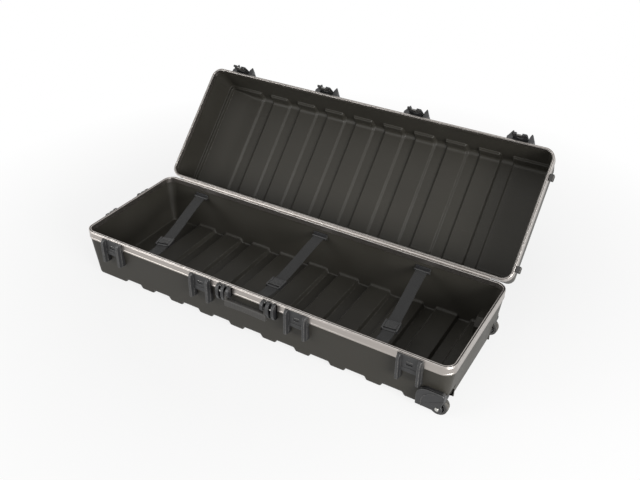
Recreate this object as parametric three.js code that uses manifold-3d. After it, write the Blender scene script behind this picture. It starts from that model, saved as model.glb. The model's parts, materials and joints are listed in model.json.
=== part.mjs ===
// A long wheeled utility case: two drafted plastic shells with metal rims, a
// full-length hinge, four latches, two drop handles, two wheels and three straps.
// Millimetres, +Z up. X runs along the case with the wheels at +X and the front
// faces -Y. The origin lies on the floor, under the middle of the open case.
import * as THREE from 'three';
import { mergeVertices } from 'three/addons/utils/BufferGeometryUtils.js';
import Module from 'manifold-3d';

const wasm = await Module();
wasm.setup();

// Case
const CASE_LENGTH = 1300;      // over the rim, along X
const CASE_WIDTH = 437;        // over the rim, along Y
const CASE_CORNER = 36;        // radius of the rim's corners
const PANEL_CORNER = 6;        // least radius of a corner further in
const BASE_DEPTH = 164;        // rim to the flat between the feet
const LID_DEPTH = 160;         // rim to the flat between the lid's ribs
const BASE_WALL = 4;           // thickness of the base's shell
const LID_WALL = 3;            // thickness of the lid's shell
const DRAFT = 6;               // lean of the shell walls, degrees
const EDGE_FILLET = 20;        // round between walls and panel
const LEDGE_DEPTH = 123;       // rim plane to the step in the lid's walls
const LEDGE_STEP = 10;         // how far the lid's walls step in there
const RAMP_LENGTH = 104;       // slope at the lid's left end, from the rim's end
const RAMP_RISE = 30;          // how far the panel rises along that slope
const LID_OPEN = 134;          // how far the lid stands open, degrees
const RIM_GAP = 0.6;           // between the closed rims
const SEAT = 0.3;              // gap between pieces that touch
const OVERRUN = 6;             // how far a cut runs past its stock
const CORNER_STEPS = 5;        // facets in a rim corner
const FILLET_STEPS = 3;        // facets in an edge fillet
const ROUND_STEPS = 12;        // facets round a small cylinder

// Rim
const RIM_FACE = 30;           // height of the rim's outer face
const RIM_INNER_FACE = 18;     // height of the rim's inner face
const RIM_METAL = 1.8;         // metal beside the shell's edge
const RIM_CROWN = 5;           // metal above the shell's edge
const RIM_EDGE = 1.5;          // rounded outer edge
const CROWN_LINE = 3.9;        // groove and tongue from the rim's face
const GROOVE_WIDTH = 3;        // groove along the base rim
const GROOVE_DEPTH = 2;
const TONGUE_WIDTH = 1.8;      // tongue along the lid rim
const TONGUE_HEIGHT = 1.4;

// Feet and ribs across the shells
const FOOT_COUNT = 10;
const LID_RIB_COUNT = 9;
const RIB_PITCH = 119;
const RIB_WIDTH = 43;          // width of a rib's flat
const RIB_FLANK = 7;           // run of a rib's sloped side
const RIB_HEIGHT = 12;         // how far a base foot stands out
const LID_RIB_HEIGHT = 8;      // how far a lid rib stands out
const FOOT_ROUND = 10;         // round at the ends of a foot
const LID_RIB_ROUND = 39;      // round at the ends of a lid rib

// Hinge
const KNUCKLE_RADIUS = 3.4;
const HINGE_PIN_RADIUS = 1.5;
const HINGE_PIN_PLAY = 0.35;
const LEAF_THICKNESS = 1.4;
const LEAF_HEIGHT = 20;
const HINGE_LENGTH = 1176;
const KNUCKLE_COUNT = 20;
const KNUCKLE_GAP = 0.8;
const PIN_OVERHANG = 2;
const HINGE_STEPS = 6;         // facets round a knuckle

// Latches on the lid and their keepers on the base
const LATCH_OUTER_X = 529;     // from the middle of the case
const LATCH_INNER_X = 172;
const GUARD_SPACING = 62;      // between a latch's two guard horns
const GUARD_WIDTH = 10;
const HORN_DEPTH = 32;         // how far a horn stands out
const HORN_FLANK = 8;          // run of a horn's outer flank
const HORN_HEIGHT = 50;
const HORN_START = 1.2;        // from the rim plane to the horn
const LATCH_PLATE_THICKNESS = 3.6;
const LATCH_PLATE_START = 5;
const LATCH_PLATE_HEIGHT = 44;
const LEVER_WIDTH = 48;
const LEVER_THICKNESS = 4;
const LEVER_REACH = 52;        // pivot to the lever's tip
const LEVER_SKIRT = 5;         // width of the lever's side skirts
const LEVER_SKIRT_DEPTH = 4;   // how far the skirts stand outwards
const LEVER_AXIS_OUT = 10;     // pivot from the rim's face
const LEVER_AXIS_UP = 18;      // pivot above the rim plane
const LEVER_BARREL_RADIUS = 4.6;
const LATCH_PIN_RADIUS = 2.1;
const LATCH_PIN_PLAY = 0.4;
const LEVER_RIM_CLEARANCE = 2.4; // lever's back to the keeper plate
const CLAW_WIDTH = 16;
const CLAW_THICKNESS = 3.2;
const CLAW_AXIS_DOWN = 25;     // claw pivot below the lever pivot
const CLAW_REACH = 25;         // claw pivot to the claw's tip
const CLAW_BARB = 1.6;         // how far the claw's tooth stands in
const CLAW_BARB_HEIGHT = 6;
const CLAW_BARREL_RADIUS = 2.6;
const CLAW_PIN_RADIUS = 1.1;
const CLAW_PIN_PLAY = 0.4;
const CLAW_SIDE_GAP = 0.8;
const CLAW_WINDOW_UP = 6;      // lever window above the claw pivot
const RIVET_RADIUS = 3;
const RIVET_HEIGHT = 1;
const KEEPER_RIB_DEPTH = 18;
const KEEPER_RIB_HEIGHT = 85;
const KEEPER_START = 5;        // from the rim plane down to the keeper
const KEEPER_PLATE_THICKNESS = 4.7;
const KEEPER_PLATE_HEIGHT = 56;
const KEEPER_BEVEL = 6;        // slanted edge beside each guard rib
const SLOT_WIDTH = 20;
const SLOT_HEIGHT = 13;
const SLOT_DOWN = 30;          // rim plane down to the slot's middle

// Drop handles
const HANDLE_SPACING = 160;    // between the bracket middles
const BRACKET_WIDTH = 48;
const BRACKET_START = 4;       // from the rim plane down to the bracket
const BRACKET_HEIGHT = 56;
const BRACKET_PLATE = 5;
const BRACKET_DEPTH = 20;
const LOBE_WIDTH = 10;
const INNER_LOBE_HEIGHT = 36;
const HANDLE_AXIS_OUT = 11;
const HANDLE_AXIS_DOWN = 24;
const HANDLE_PIN_RADIUS = 2.6;
const HANDLE_PIN_PLAY = 0.5;
const ARM_WIDTH = 7;
const ARM_THICKNESS = 10;
const GRIP_TOP = 22;           // pivot down to the grip's top edge
const GRIP_HEIGHT = 26;
const GRIP_THICKNESS = 15;

// Wheels
const WHEEL_RADIUS = 27;
const WHEEL_WIDTH = 24;
const WHEEL_STEPS = 16;        // facets round a wheel
const TYRE_THICKNESS = 7;
const TYRE_CROWN = 2;
const HUB_WEB = 8;
const HUB_BOSS_RADIUS = 9;
const HUB_HOLE_RADIUS = 2.6;
const HUB_HOLE_COUNT = 6;
const AXLE_RADIUS = 4;
const AXLE_PLAY = 0.4;
const AXLE_HEAD_RADIUS = 6;
const AXLE_HEAD_HEIGHT = 2.4;
const WHEEL_END_INSET = 2;     // wheel inside the end of the rim
const BACK_WHEEL_INSET = 18;   // back wheel further in than the front one
const WHEEL_CLEARANCE = 3;     // housing round the tyre
const WHEEL_SIDE_GAP = 1.6;
const HOUSING_FRONT_PROUD = 6.5;  // housing past the rim's front face
const HOUSING_CHEEK = 7;
const HOUSING_INNER_CHEEK = 5;
const HOUSING_LENGTH = 94;
const HOUSING_HEIGHT = 82;
const HOUSING_FOOT = 16;       // housing's lower edge above the floor
const HOUSING_CORNER = 30;     // radius of the housing's upper corner
const HOUSING_NOSE_RADIUS = 15;  // cheek's round end about the axle
const WELL_HEIGHT = 64;        // recess in the shell behind the wheel
const WELL_LENGTH = 62;
const WELL_WIDTH = 76;

// End bumpers on the lid
const BUMPER_SIZE = 20;
const BUMPER_PROUD = 15;
const BUMPER_CHAMFER = 3;
const BUMPER_UP = 14;          // middle above the rim plane
const BUMPER_FRONT_INSET = 86;
const BUMPER_BACK_INSET = 48;

// Straps
const STRAP_WIDTH = 38;
const STRAP_THICKNESS = 2.2;
const STRAP_DOWN = 40;         // rim plane down to the strap's ends
const STRAP_SAG = 16;
const STRAP_BACK_SHARES = [-0.765, 0.002, 0.58];    // of half the case's length
const STRAP_FRONT_SHARES = [-0.622, 0.022, 0.645];
const ANCHOR_WIDTH = 52;
const ANCHOR_HEIGHT = 22;
const ANCHOR_THICKNESS = 3;
const ANCHOR_LOOP = 11;        // how far the anchor's loop stands in
const ANCHOR_WALL = 3;
const BUCKLE_LENGTH = 46;
const BUCKLE_WIDTH = 50;
const BUCKLE_HEIGHT = 11;
const BUCKLE_FRONT_SHARE = 0.3;  // where the buckle sits along the strap

// Materials
const material = (color, roughness, metalness) =>
  new THREE.MeshStandardMaterial({ color, roughness, metalness });
const SHELL_PLASTIC = material(0x3b3b39, 0.55, 0);
const METAL_RIM = material(0xc9c5bd, 0.35, 0.9);
const STEEL = material(0xa8a8a8, 0.3, 1);
const HARD_PLASTIC = material(0x2c2c2e, 0.5, 0);
const GRIP_PLASTIC = material(0x333333, 0.6, 0);
const RUBBER = material(0x222222, 0.8, 0);
const WEBBING = material(0x181818, 0.9, 0);

// Worked-out places
const HALF_LENGTH = CASE_LENGTH / 2;
const HALF_WIDTH = CASE_WIDTH / 2;
const RIM_Z = BASE_DEPTH + RIB_HEIGHT;
const LEAN = Math.tan(THREE.MathUtils.degToRad(DRAFT));
const SHELL_INSET = RIM_METAL + SEAT;
const SHELL_TOP = RIM_CROWN + SEAT;
const HINGE_Y = HALF_WIDTH + SEAT + KNUCKLE_RADIUS;
const HINGE_Z = RIM_Z + RIM_GAP / 2;
const LID_RIM_Z = RIM_Z + RIM_GAP;
const LATCH_X = [-LATCH_OUTER_X, -LATCH_INNER_X, LATCH_INNER_X, LATCH_OUTER_X];

// Small tools

// Makes a closed three.js geometry a solid that can be joined and cut.
function solidOf(geometry) {
  const merged = outward(welded(geometry));
  return new wasm.Manifold(new wasm.Mesh({
    numProp: 3,
    vertProperties: new Float32Array(merged.attributes.position.array),
    triVerts: new Uint32Array(merged.index.array),
  }));
}

// Joins the corners that faces share, so that the surface closes.
function welded(geometry) {
  const bare = geometry.clone();
  bare.deleteAttribute('normal');
  bare.deleteAttribute('uv');
  return mergeVertices(bare, SEAT / 1e4);
}

// Gives a solid back as a three.js geometry.
function geometryOf(solid) {
  const mesh = solid.getMesh();
  const geometry = new THREE.BufferGeometry();
  geometry.setAttribute('position', new THREE.BufferAttribute(mesh.vertProperties, 3));
  geometry.setIndex(new THREE.BufferAttribute(mesh.triVerts, 1));
  return geometry;
}

const union = (...solids) => solids.reduce((all, one) => all.add(one));

// Skins a row of point loops of equal length. The row either closes on itself,
// as round a ring, or ends in two flat caps.
function loft(loops, closed) {
  const count = loops[0].length;
  const rows = loops.length;
  const positions = loops.flat().flatMap((p) => [p.x, p.y, p.z]);
  const faces = [];
  const lastRow = closed ? rows : rows - 1;
  for (let i = 0; i < lastRow; i += 1) {
    for (let j = 0; j < count; j += 1) {
      const a = i * count + j;
      const b = i * count + ((j + 1) % count);
      const c = ((i + 1) % rows) * count + ((j + 1) % count);
      const d = ((i + 1) % rows) * count + j;
      faces.push(a, b, c, a, c, d);
    }
  }
  if (!closed) {
    for (let j = 1; j < count - 1; j += 1) {
      faces.push(0, j + 1, j);
      const base = (rows - 1) * count;
      faces.push(base, base + j, base + j + 1);
    }
  }
  const geometry = new THREE.BufferGeometry();
  geometry.setAttribute('position', new THREE.Float32BufferAttribute(positions, 3));
  geometry.setIndex(faces);
  return geometry;
}

// Turns a closed geometry's faces outwards where its volume comes out negative.
function outward(geometry) {
  const p = geometry.attributes.position;
  const index = geometry.index;
  const [a, b, c] = [new THREE.Vector3(), new THREE.Vector3(), new THREE.Vector3()];
  let volume = 0;
  for (let i = 0; i < index.count; i += 3) {
    a.fromBufferAttribute(p, index.getX(i));
    b.fromBufferAttribute(p, index.getX(i + 1));
    c.fromBufferAttribute(p, index.getX(i + 2));
    volume += a.dot(b.cross(c));
  }
  if (volume < 0) {
    for (let i = 0; i < index.count; i += 3) {
      const second = index.getX(i + 1);
      index.setX(i + 1, index.getX(i + 2));
      index.setX(i + 2, second);
    }
  }
  return geometry;
}

// One loop of the case's rounded rectangle, drawn in by an inset, at a height.
function caseLoop(inset, z) {
  const radius = Math.max(CASE_CORNER - inset, PANEL_CORNER);
  const cx = HALF_LENGTH - inset - radius;
  const cy = HALF_WIDTH - inset - radius;
  const points = [];
  [[1, 1], [-1, 1], [-1, -1], [1, -1]].forEach(([sx, sy], quarter) => {
    for (let i = 0; i <= CORNER_STEPS; i += 1) {
      const angle = (quarter + i / CORNER_STEPS) * Math.PI / 2;
      const x = sx * cx + radius * Math.cos(angle);
      const y = sy * cy + radius * Math.sin(angle);
      points.push(new THREE.Vector3(x, y, z));
    }
  });
  return points;
}

// Extrudes an outline of [across, up] points along X, centred on x.
function alongX(points, width, x = 0) {
  const shape = new THREE.Shape(points.map(([y, z]) => new THREE.Vector2(y, z)));
  const geometry = new THREE.ExtrudeGeometry(shape, { depth: width, bevelEnabled: false });
  geometry.rotateY(Math.PI / 2);
  geometry.rotateX(Math.PI / 2);
  geometry.translate(x - width / 2, 0, 0);
  return solidOf(geometry);
}

// Extrudes an outline of [x, z] points along Y, from y towards +Y.
function alongY(points, depth, y) {
  const shape = new THREE.Shape(points.map(([x, z]) => new THREE.Vector2(x, z)));
  const geometry = new THREE.ExtrudeGeometry(shape, { depth, bevelEnabled: false });
  geometry.rotateX(Math.PI / 2);
  geometry.translate(0, y + depth, 0);
  return solidOf(geometry);
}

// A box from its two far corners.
function boxBetween(low, high) {
  const size = high.map((value, i) => value - low[i]);
  const geometry = new THREE.BoxGeometry(...size);
  geometry.translate(...low.map((value, i) => value + size[i] / 2));
  return solidOf(geometry);
}

// A round bar along X.
function barX(radius, length, [x, y, z], steps = ROUND_STEPS) {
  const geometry = new THREE.CylinderGeometry(radius, radius, length, steps);
  geometry.rotateZ(Math.PI / 2);
  geometry.translate(x, y, z);
  return solidOf(geometry);
}

// A round bar along Y.
function barY(radius, length, [x, y, z], steps = ROUND_STEPS) {
  const geometry = new THREE.CylinderGeometry(radius, radius, length, steps);
  geometry.translate(x, y, z);
  return solidOf(geometry);
}

// How far the shell's outer wall lies inside the rim's face, at a depth.
function wallInset(depth) {
  return SHELL_INSET + Math.max(depth - RIM_FACE, 0) * LEAN;
}

// Case shells and rims, drawn with the rim plane at z = 0 and depth down

// Round from a wall into a panel: [inset, depth] pairs down to the panel.
function roundDown(wall, panel, radius) {
  const bend = panel - radius;
  const points = [];
  for (let i = 0; i <= FILLET_STEPS; i += 1) {
    const angle = (i / FILLET_STEPS) * Math.PI / 2;
    const inset = wall(bend) + radius * (1 - Math.cos(angle));
    points.push([inset, bend + radius * Math.sin(angle)]);
  }
  return points;
}

// Skins [inset, depth] pairs into a solid of the case's outline.
function caseSolid(profile) {
  return solidOf(loft(profile.map(([inset, depth]) => caseLoop(inset, -depth)), false));
}

// A shell's body, outside or inside: down the drafted wall, over the ledge
// where it has one, round the fillet and on to the flat panel.
function shellBody(form, top, offset) {
  const wall = (d) => wallInset(d) + offset;
  const profile = [[wall(top), top], [wall(RIM_FACE), RIM_FACE]];
  let below = wall;
  if (form.ledge) {
    const step = form.ledge - offset;
    below = (d) => wall(d) + LEDGE_STEP;
    profile.push([wall(step), step], [below(step), step]);
  }
  profile.push(...roundDown(below, form.depth - offset, EDGE_FILLET - offset));
  return caseSolid(profile);
}

// Ribs that cross a shell's panel. Their ends are the wall itself, which runs
// on down and rounds over. An offset thins them so that the wall keeps its
// thickness. The first one can run on to the end of the case.
function ribs(form, offset) {
  const start = (form.ledge || form.depth - EDGE_FILLET + offset) - offset;
  const reach = form.depth + form.height - offset;
  const wall = (d) => wallInset(d) + offset;
  const ends = [[wall(start), start], ...roundDown(wall, reach, form.round - offset)];
  const flat = RIB_WIDTH / 2 - offset;
  const foot = flat + RIB_FLANK;
  const first = -RIB_PITCH * (form.count - 1) / 2;
  const bars = [];
  for (let i = 0; i < form.count; i += 1) {
    const x = first + i * RIB_PITCH;
    const [far, near] = i === 0 && form.toEnd ? [-HALF_LENGTH, -HALF_LENGTH] : [x - foot, x - flat];
    const outline = [[far, -start], [x + foot, -start], [x + foot, -form.depth + offset]];
    outline.push([x + flat, -reach], [near, -reach], [far, -form.depth + offset]);
    bars.push(alongY(outline, CASE_WIDTH, -HALF_WIDTH));
  }
  return union(...bars).intersect(caseSolid(ends));
}

const BASE_FORM = { depth: BASE_DEPTH, height: RIB_HEIGHT, count: FOOT_COUNT, round: FOOT_ROUND,
  toEnd: true };
const LID_FORM = { depth: LID_DEPTH, height: LID_RIB_HEIGHT, count: LID_RIB_COUNT,
  round: LID_RIB_ROUND, ledge: LEDGE_DEPTH };

// The outside or inside form of a shell, as a full solid.
function shellForm(form, top, offset) {
  return shellBody(form, top, offset).add(ribs(form, offset));
}

// What the slope at the left end of the lid takes away from its panel.
function rampCut(offset) {
  const panel = LID_DEPTH - offset;
  const foot = -HALF_LENGTH + RAMP_LENGTH;
  const below = panel + LID_RIB_HEIGHT + OVERRUN;
  const outline = [[foot, -panel], [-HALF_LENGTH, -panel + RAMP_RISE]];
  outline.push([-HALF_LENGTH, -below], [foot, -below]);
  return alongY(outline, CASE_WIDTH, -HALF_WIDTH);
}

// The rim's section: a channel that caps the shell's edge. The base rim has a
// groove along its crown and the lid rim a tongue that drops into it.
function rimRing(wall, crown) {
  const inner = 2 * SHELL_INSET + wall;
  const section = [[0, RIM_FACE], [0, RIM_EDGE], [RIM_EDGE, 0]];
  crown.forEach(([across, depth]) => section.push([CROWN_LINE + across, depth]));
  section.push([inner - RIM_EDGE / 2, 0], [inner, RIM_EDGE / 2], [inner, RIM_INNER_FACE]);
  section.push([inner - RIM_METAL, RIM_INNER_FACE], [inner - RIM_METAL, RIM_CROWN]);
  section.push([RIM_METAL, RIM_CROWN], [RIM_METAL, RIM_FACE]);
  return solidOf(loft(section.map(([inset, depth]) => caseLoop(inset, -depth)), true));
}

// Wheel corner, drawn at the front; the back one is its mirror image
const WHEEL_X = HALF_LENGTH - WHEEL_END_INSET - WHEEL_RADIUS;
const HOUSING_Y = -(HALF_WIDTH + HOUSING_FRONT_PROUD);
const WHEEL_Y = HOUSING_Y + HOUSING_CHEEK + WHEEL_SIDE_GAP;   // wheel's outer face
const WHEEL_MID_Y = WHEEL_Y + WHEEL_WIDTH / 2;
const CHEEK_Y = WHEEL_Y + WHEEL_WIDTH + WHEEL_SIDE_GAP;       // inner cheek's face
const HOUSING_BACK_Y = CHEEK_Y + HOUSING_INNER_CHEEK;

// Mirrors a solid front to back.
function mirrored(solid) {
  return solid.mirror([0, 1, 0]);
}

// The recess at a bottom corner of the base, grown by the wall on the inside.
function wheelWell(offset) {
  const left = HALF_LENGTH - WELL_LENGTH - offset;
  const right = HALF_LENGTH + OVERRUN;
  const front = -HALF_WIDTH - OVERRUN;
  const back = -HALF_WIDTH + WELL_WIDTH + offset;
  const top = WELL_HEIGHT + offset;
  const slope = WELL_HEIGHT / 3;
  const outline = [[front, -OVERRUN], [back, -OVERRUN], [back, top - slope]];
  outline.push([back - slope, top], [front, top]);
  return alongX(outline, right - left, (left + right) / 2);
}

// The moulded housing: a flat cover with a rounded upper corner, an arch over
// the wheel, and a cheek each side that carries the axle.
function wheelHousing() {
  const left = HALF_LENGTH - HOUSING_LENGTH;
  const right = WHEEL_X;
  const outline = [[left, HOUSING_FOOT], [right, HOUSING_FOOT]];
  const nose = 2 * FILLET_STEPS;
  const low = Math.asin((WHEEL_RADIUS - HOUSING_FOOT) / HOUSING_NOSE_RADIUS);
  const reach = HOUSING_NOSE_RADIUS;
  for (let i = 0; i <= nose; i += 1) {
    const angle = -low + (i / nose) * (low + Math.PI / 4);
    outline.push([WHEEL_X + reach * Math.cos(angle), WHEEL_RADIUS + reach * Math.sin(angle)]);
  }
  const endX = HALF_LENGTH - wallInset(RIM_Z - WELL_HEIGHT) - SEAT;
  outline.push([endX, WELL_HEIGHT], [endX, HOUSING_HEIGHT - HOUSING_CORNER / 2]);
  outline.push([endX - HOUSING_CORNER / 2, HOUSING_HEIGHT]);
  for (let i = 0; i <= nose; i += 1) {
    const angle = Math.PI / 2 * (1 + i / nose);
    const x = left + HOUSING_CORNER + HOUSING_CORNER * Math.cos(angle);
    const z = HOUSING_HEIGHT - HOUSING_CORNER + HOUSING_CORNER * Math.sin(angle);
    outline.push([x, z]);
  }
  const body = alongY(outline, HOUSING_BACK_Y - HOUSING_Y, HOUSING_Y);
  // The space the wheel turns in, open below and at the case's end.
  const swing = WHEEL_RADIUS + WHEEL_CLEARANCE;
  const gapY = WHEEL_Y - WHEEL_SIDE_GAP;
  const gapDepth = WHEEL_WIDTH + 2 * WHEEL_SIDE_GAP;
  const gapMid = gapY + gapDepth / 2;
  const room = barY(swing, gapDepth, [WHEEL_X, gapMid, WHEEL_RADIUS], WHEEL_STEPS);
  const below = boxBetween([WHEEL_X - swing, gapY, -OVERRUN],
    [HALF_LENGTH + OVERRUN, gapY + gapDepth, WHEEL_RADIUS]);
  const ahead = boxBetween([WHEEL_X, gapY, -OVERRUN],
    [HALF_LENGTH + OVERRUN, gapY + gapDepth, WHEEL_RADIUS + swing / 2]);
  const bore = barY(AXLE_RADIUS + SEAT, CASE_WIDTH, [WHEEL_X, HOUSING_Y, WHEEL_RADIUS]);
  return body.subtract(union(room, below, ahead, bore));
}

// Turns an [out, up] profile about the wheel's axle.
function turned(profile) {
  const points = profile.map(([radius, y]) => new THREE.Vector2(radius, y));
  const geometry = new THREE.LatheGeometry(points, WHEEL_STEPS);
  geometry.translate(WHEEL_X, WHEEL_MID_Y, WHEEL_RADIUS);
  return solidOf(geometry);
}

function tyre() {
  const half = WHEEL_WIDTH / 2;
  const inner = WHEEL_RADIUS - TYRE_THICKNESS;
  const shoulder = WHEEL_RADIUS - TYRE_CROWN;
  const profile = [[inner, -half], [shoulder, -half], [WHEEL_RADIUS, -half + 2 * TYRE_CROWN]];
  profile.push([WHEEL_RADIUS, half - 2 * TYRE_CROWN], [shoulder, half], [inner, half]);
  profile.push([inner, -half]);
  return turned(profile);
}

function hub() {
  const half = WHEEL_WIDTH / 2;
  const rim = WHEEL_RADIUS - TYRE_THICKNESS - SEAT;
  const rimInside = rim - RIM_METAL;
  const bore = AXLE_RADIUS + AXLE_PLAY;
  const profile = [[bore, -half], [HUB_BOSS_RADIUS, -half], [HUB_BOSS_RADIUS, -HUB_WEB / 2]];
  profile.push([rimInside, -HUB_WEB / 2], [rimInside, -half], [rim, -half], [rim, half]);
  profile.push([rimInside, half], [rimInside, HUB_WEB / 2], [HUB_BOSS_RADIUS, HUB_WEB / 2]);
  profile.push([HUB_BOSS_RADIUS, half], [bore, half], [bore, -half]);
  const ring = (HUB_BOSS_RADIUS + rimInside) / 2;
  let body = turned(profile);
  for (let i = 0; i < HUB_HOLE_COUNT; i += 1) {
    const angle = (i / HUB_HOLE_COUNT) * 2 * Math.PI;
    const at = [WHEEL_X + ring * Math.cos(angle), WHEEL_MID_Y, WHEEL_RADIUS + ring * Math.sin(angle)];
    body = body.subtract(barY(HUB_HOLE_RADIUS, WHEEL_WIDTH, at, ROUND_STEPS / 2));
  }
  return body;
}

function axle() {
  const length = HOUSING_BACK_Y - HOUSING_Y + AXLE_HEAD_HEIGHT;
  const shaft = barY(AXLE_RADIUS, length, [WHEEL_X, HOUSING_Y + length / 2, WHEEL_RADIUS]);
  const headY = HOUSING_Y - SEAT - AXLE_HEAD_HEIGHT / 2;
  const head = barY(AXLE_HEAD_RADIUS, AXLE_HEAD_HEIGHT, [WHEEL_X, headY, WHEEL_RADIUS]);
  const neck = barY(AXLE_RADIUS, 2 * SEAT + AXLE_HEAD_HEIGHT, [WHEEL_X, HOUSING_Y, WHEEL_RADIUS]);
  return union(shaft, neck, head);
}

// Pieces on a rim's face, drawn in [out, up] from the rim's edge

// Places an [out, up] profile on the front face, so out becomes -Y.
function onFront(profile, width, x = 0) {
  return alongX(profile.map(([out, up]) => [-HALF_WIDTH - out, up]).reverse(), width, x);
}

// The back of a piece that sits on the rim and on the drafted wall below it.
function seatProfile(start, end) {
  const step = RIM_FACE + SEAT;
  const wallOut = (depth) => SEAT - wallInset(depth);
  return [[wallOut(end), -end], [wallOut(step), -step], [SEAT, -step], [SEAT, -start]];
}

const HORN_SHARES = [[0.7, 0], [1, 0.12], [0.78, 0.5], [0.2, 1]];
// Across a horn, from the lever outwards: [share of its width, share of its depth].
const HORN_CREST = [[0, 0.76], [0.22, 1], [0.44, 0.9], [1, 0.36]];
const RIB_SHARES = [[0.5, 0], [0.86, 0.06], [1, 0.16], [1, 0.95], [0.84, 1]];
const LOBE_SHARES = [[0.45, 0], [0.8, 0.08], [1, 0.26], [1, 0.62], [0.72, 0.9], [0.35, 1]];

// One guard rib of a keeper, from under the rim's crown down to the wall.
function keeperRib(x) {
  const end = KEEPER_START + KEEPER_RIB_HEIGHT;
  const front = RIB_SHARES.map(([out, down]) =>
    [KEEPER_RIB_DEPTH * out, -KEEPER_START - KEEPER_RIB_HEIGHT * down]);
  return onFront([...seatProfile(KEEPER_START, end), ...front], GUARD_WIDTH, x);
}

// The keeper: a plate with a slot for the claw, between two guard ribs, with
// slanted cheeks that run down onto the rim's face.
function keeper(x) {
  const side = GUARD_SPACING / 2;
  const end = KEEPER_START + KEEPER_PLATE_HEIGHT;
  const face = [[KEEPER_PLATE_THICKNESS, -KEEPER_START], [KEEPER_PLATE_THICKNESS, -end]];
  const plate = onFront([...seatProfile(KEEPER_START, end), ...face], GUARD_SPACING, x);
  const half = side + GUARD_WIDTH / 2;
  const bevelTop = KEEPER_START + KEEPER_BEVEL / 2;
  const cheekOut = [[KEEPER_PLATE_THICKNESS / 2, -bevelTop]];
  cheekOut.push([KEEPER_PLATE_THICKNESS / 2, -RIM_FACE - KEEPER_BEVEL]);
  const cheekSeat = seatProfile(bevelTop, RIM_FACE + KEEPER_BEVEL);
  const cheek = onFront([...cheekSeat, ...cheekOut], 2 * (half + KEEPER_BEVEL), x);
  const cut = (sign) => alongY([
    [x + sign * (half + KEEPER_BEVEL + OVERRUN), -bevelTop + OVERRUN],
    [x + sign * half, -bevelTop + OVERRUN],
    [x + sign * half, -bevelTop],
    [x + sign * (half + KEEPER_BEVEL), -RIM_FACE],
    [x + sign * (half + KEEPER_BEVEL + OVERRUN), -RIM_FACE],
  ], KEEPER_RIB_DEPTH, -HALF_WIDTH - KEEPER_RIB_DEPTH + SEAT);
  const slot = boxBetween(
    [x - SLOT_WIDTH / 2, -HALF_WIDTH - KEEPER_PLATE_THICKNESS - OVERRUN, -SLOT_DOWN - SLOT_HEIGHT / 2],
    [x + SLOT_WIDTH / 2, -HALF_WIDTH + OVERRUN, -SLOT_DOWN + SLOT_HEIGHT / 2],
  );
  const guards = union(keeperRib(x - side), keeperRib(x + side));
  return union(plate, cheek.subtract(cut(-1)).subtract(cut(1)), guards).subtract(slot);
}

// The latch's body: a plate riveted to the lid's rim between two guard horns.
function latchBase(x) {
  const side = GUARD_SPACING / 2;
  const top = LATCH_PLATE_START + LATCH_PLATE_HEIGHT;
  const above = [[SEAT, LATCH_PLATE_START], [SEAT, RIM_FACE + SEAT]];
  above.push([SEAT - wallInset(RIM_FACE), RIM_FACE + SEAT], [SEAT - wallInset(top), top]);
  const plate = onFront([...above, [LATCH_PLATE_THICKNESS, top],
    [LATCH_PLATE_THICKNESS, LATCH_PLATE_START]].reverse(), GUARD_SPACING, x);
  const horn = (sign) => {
    const back = [[SEAT, HORN_START], [SEAT, RIM_FACE + SEAT]];
    back.push([SEAT - wallInset(RIM_FACE), RIM_FACE + SEAT]);
    back.push([SEAT - wallInset(HORN_START + HORN_HEIGHT), HORN_START + HORN_HEIGHT]);
    const inner = side - GUARD_WIDTH / 2;
    const loops = HORN_CREST.map(([across, share]) => {
      const front = HORN_SHARES.map(([out, up]) =>
        [HORN_DEPTH * out * share, HORN_START + HORN_HEIGHT * up]).reverse();
      const at = x + sign * (inner + across * (GUARD_WIDTH + HORN_FLANK));
      return [...back, ...front].map(([out, up]) => new THREE.Vector3(at, -HALF_WIDTH - out, up));
    });
    return solidOf(loft(loops, false));
  };
  const rivetUp = LATCH_PLATE_START + LATCH_PLATE_HEIGHT - 2 * RIVET_RADIUS;
  const rivetY = -HALF_WIDTH - LATCH_PLATE_THICKNESS;
  const rivets = [-1, 1].map((sign) => barY(RIVET_RADIUS, 2 * RIVET_HEIGHT,
    [x + sign * GUARD_SPACING / 4, rivetY, rivetUp], HINGE_STEPS));
  const pinBore = barX(LATCH_PIN_RADIUS + SEAT, GUARD_SPACING + 2 * GUARD_WIDTH,
    [x, -HALF_WIDTH - LEVER_AXIS_OUT, LEVER_AXIS_UP]);
  return union(plate, horn(-1), horn(1), ...rivets).subtract(pinBore);
}

function latchPin(x) {
  const length = GUARD_SPACING + GUARD_WIDTH;
  return barX(LATCH_PIN_RADIUS, length, [x, -HALF_WIDTH - LEVER_AXIS_OUT, LEVER_AXIS_UP]);
}

const LEVER_BACK = KEEPER_PLATE_THICKNESS + LEVER_RIM_CLEARANCE;
const CLAW_AXIS_UP = LEVER_AXIS_UP - CLAW_AXIS_DOWN;
const CLAW_AXIS_OUT = LEVER_BACK + CLAW_BARREL_RADIUS;

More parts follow.
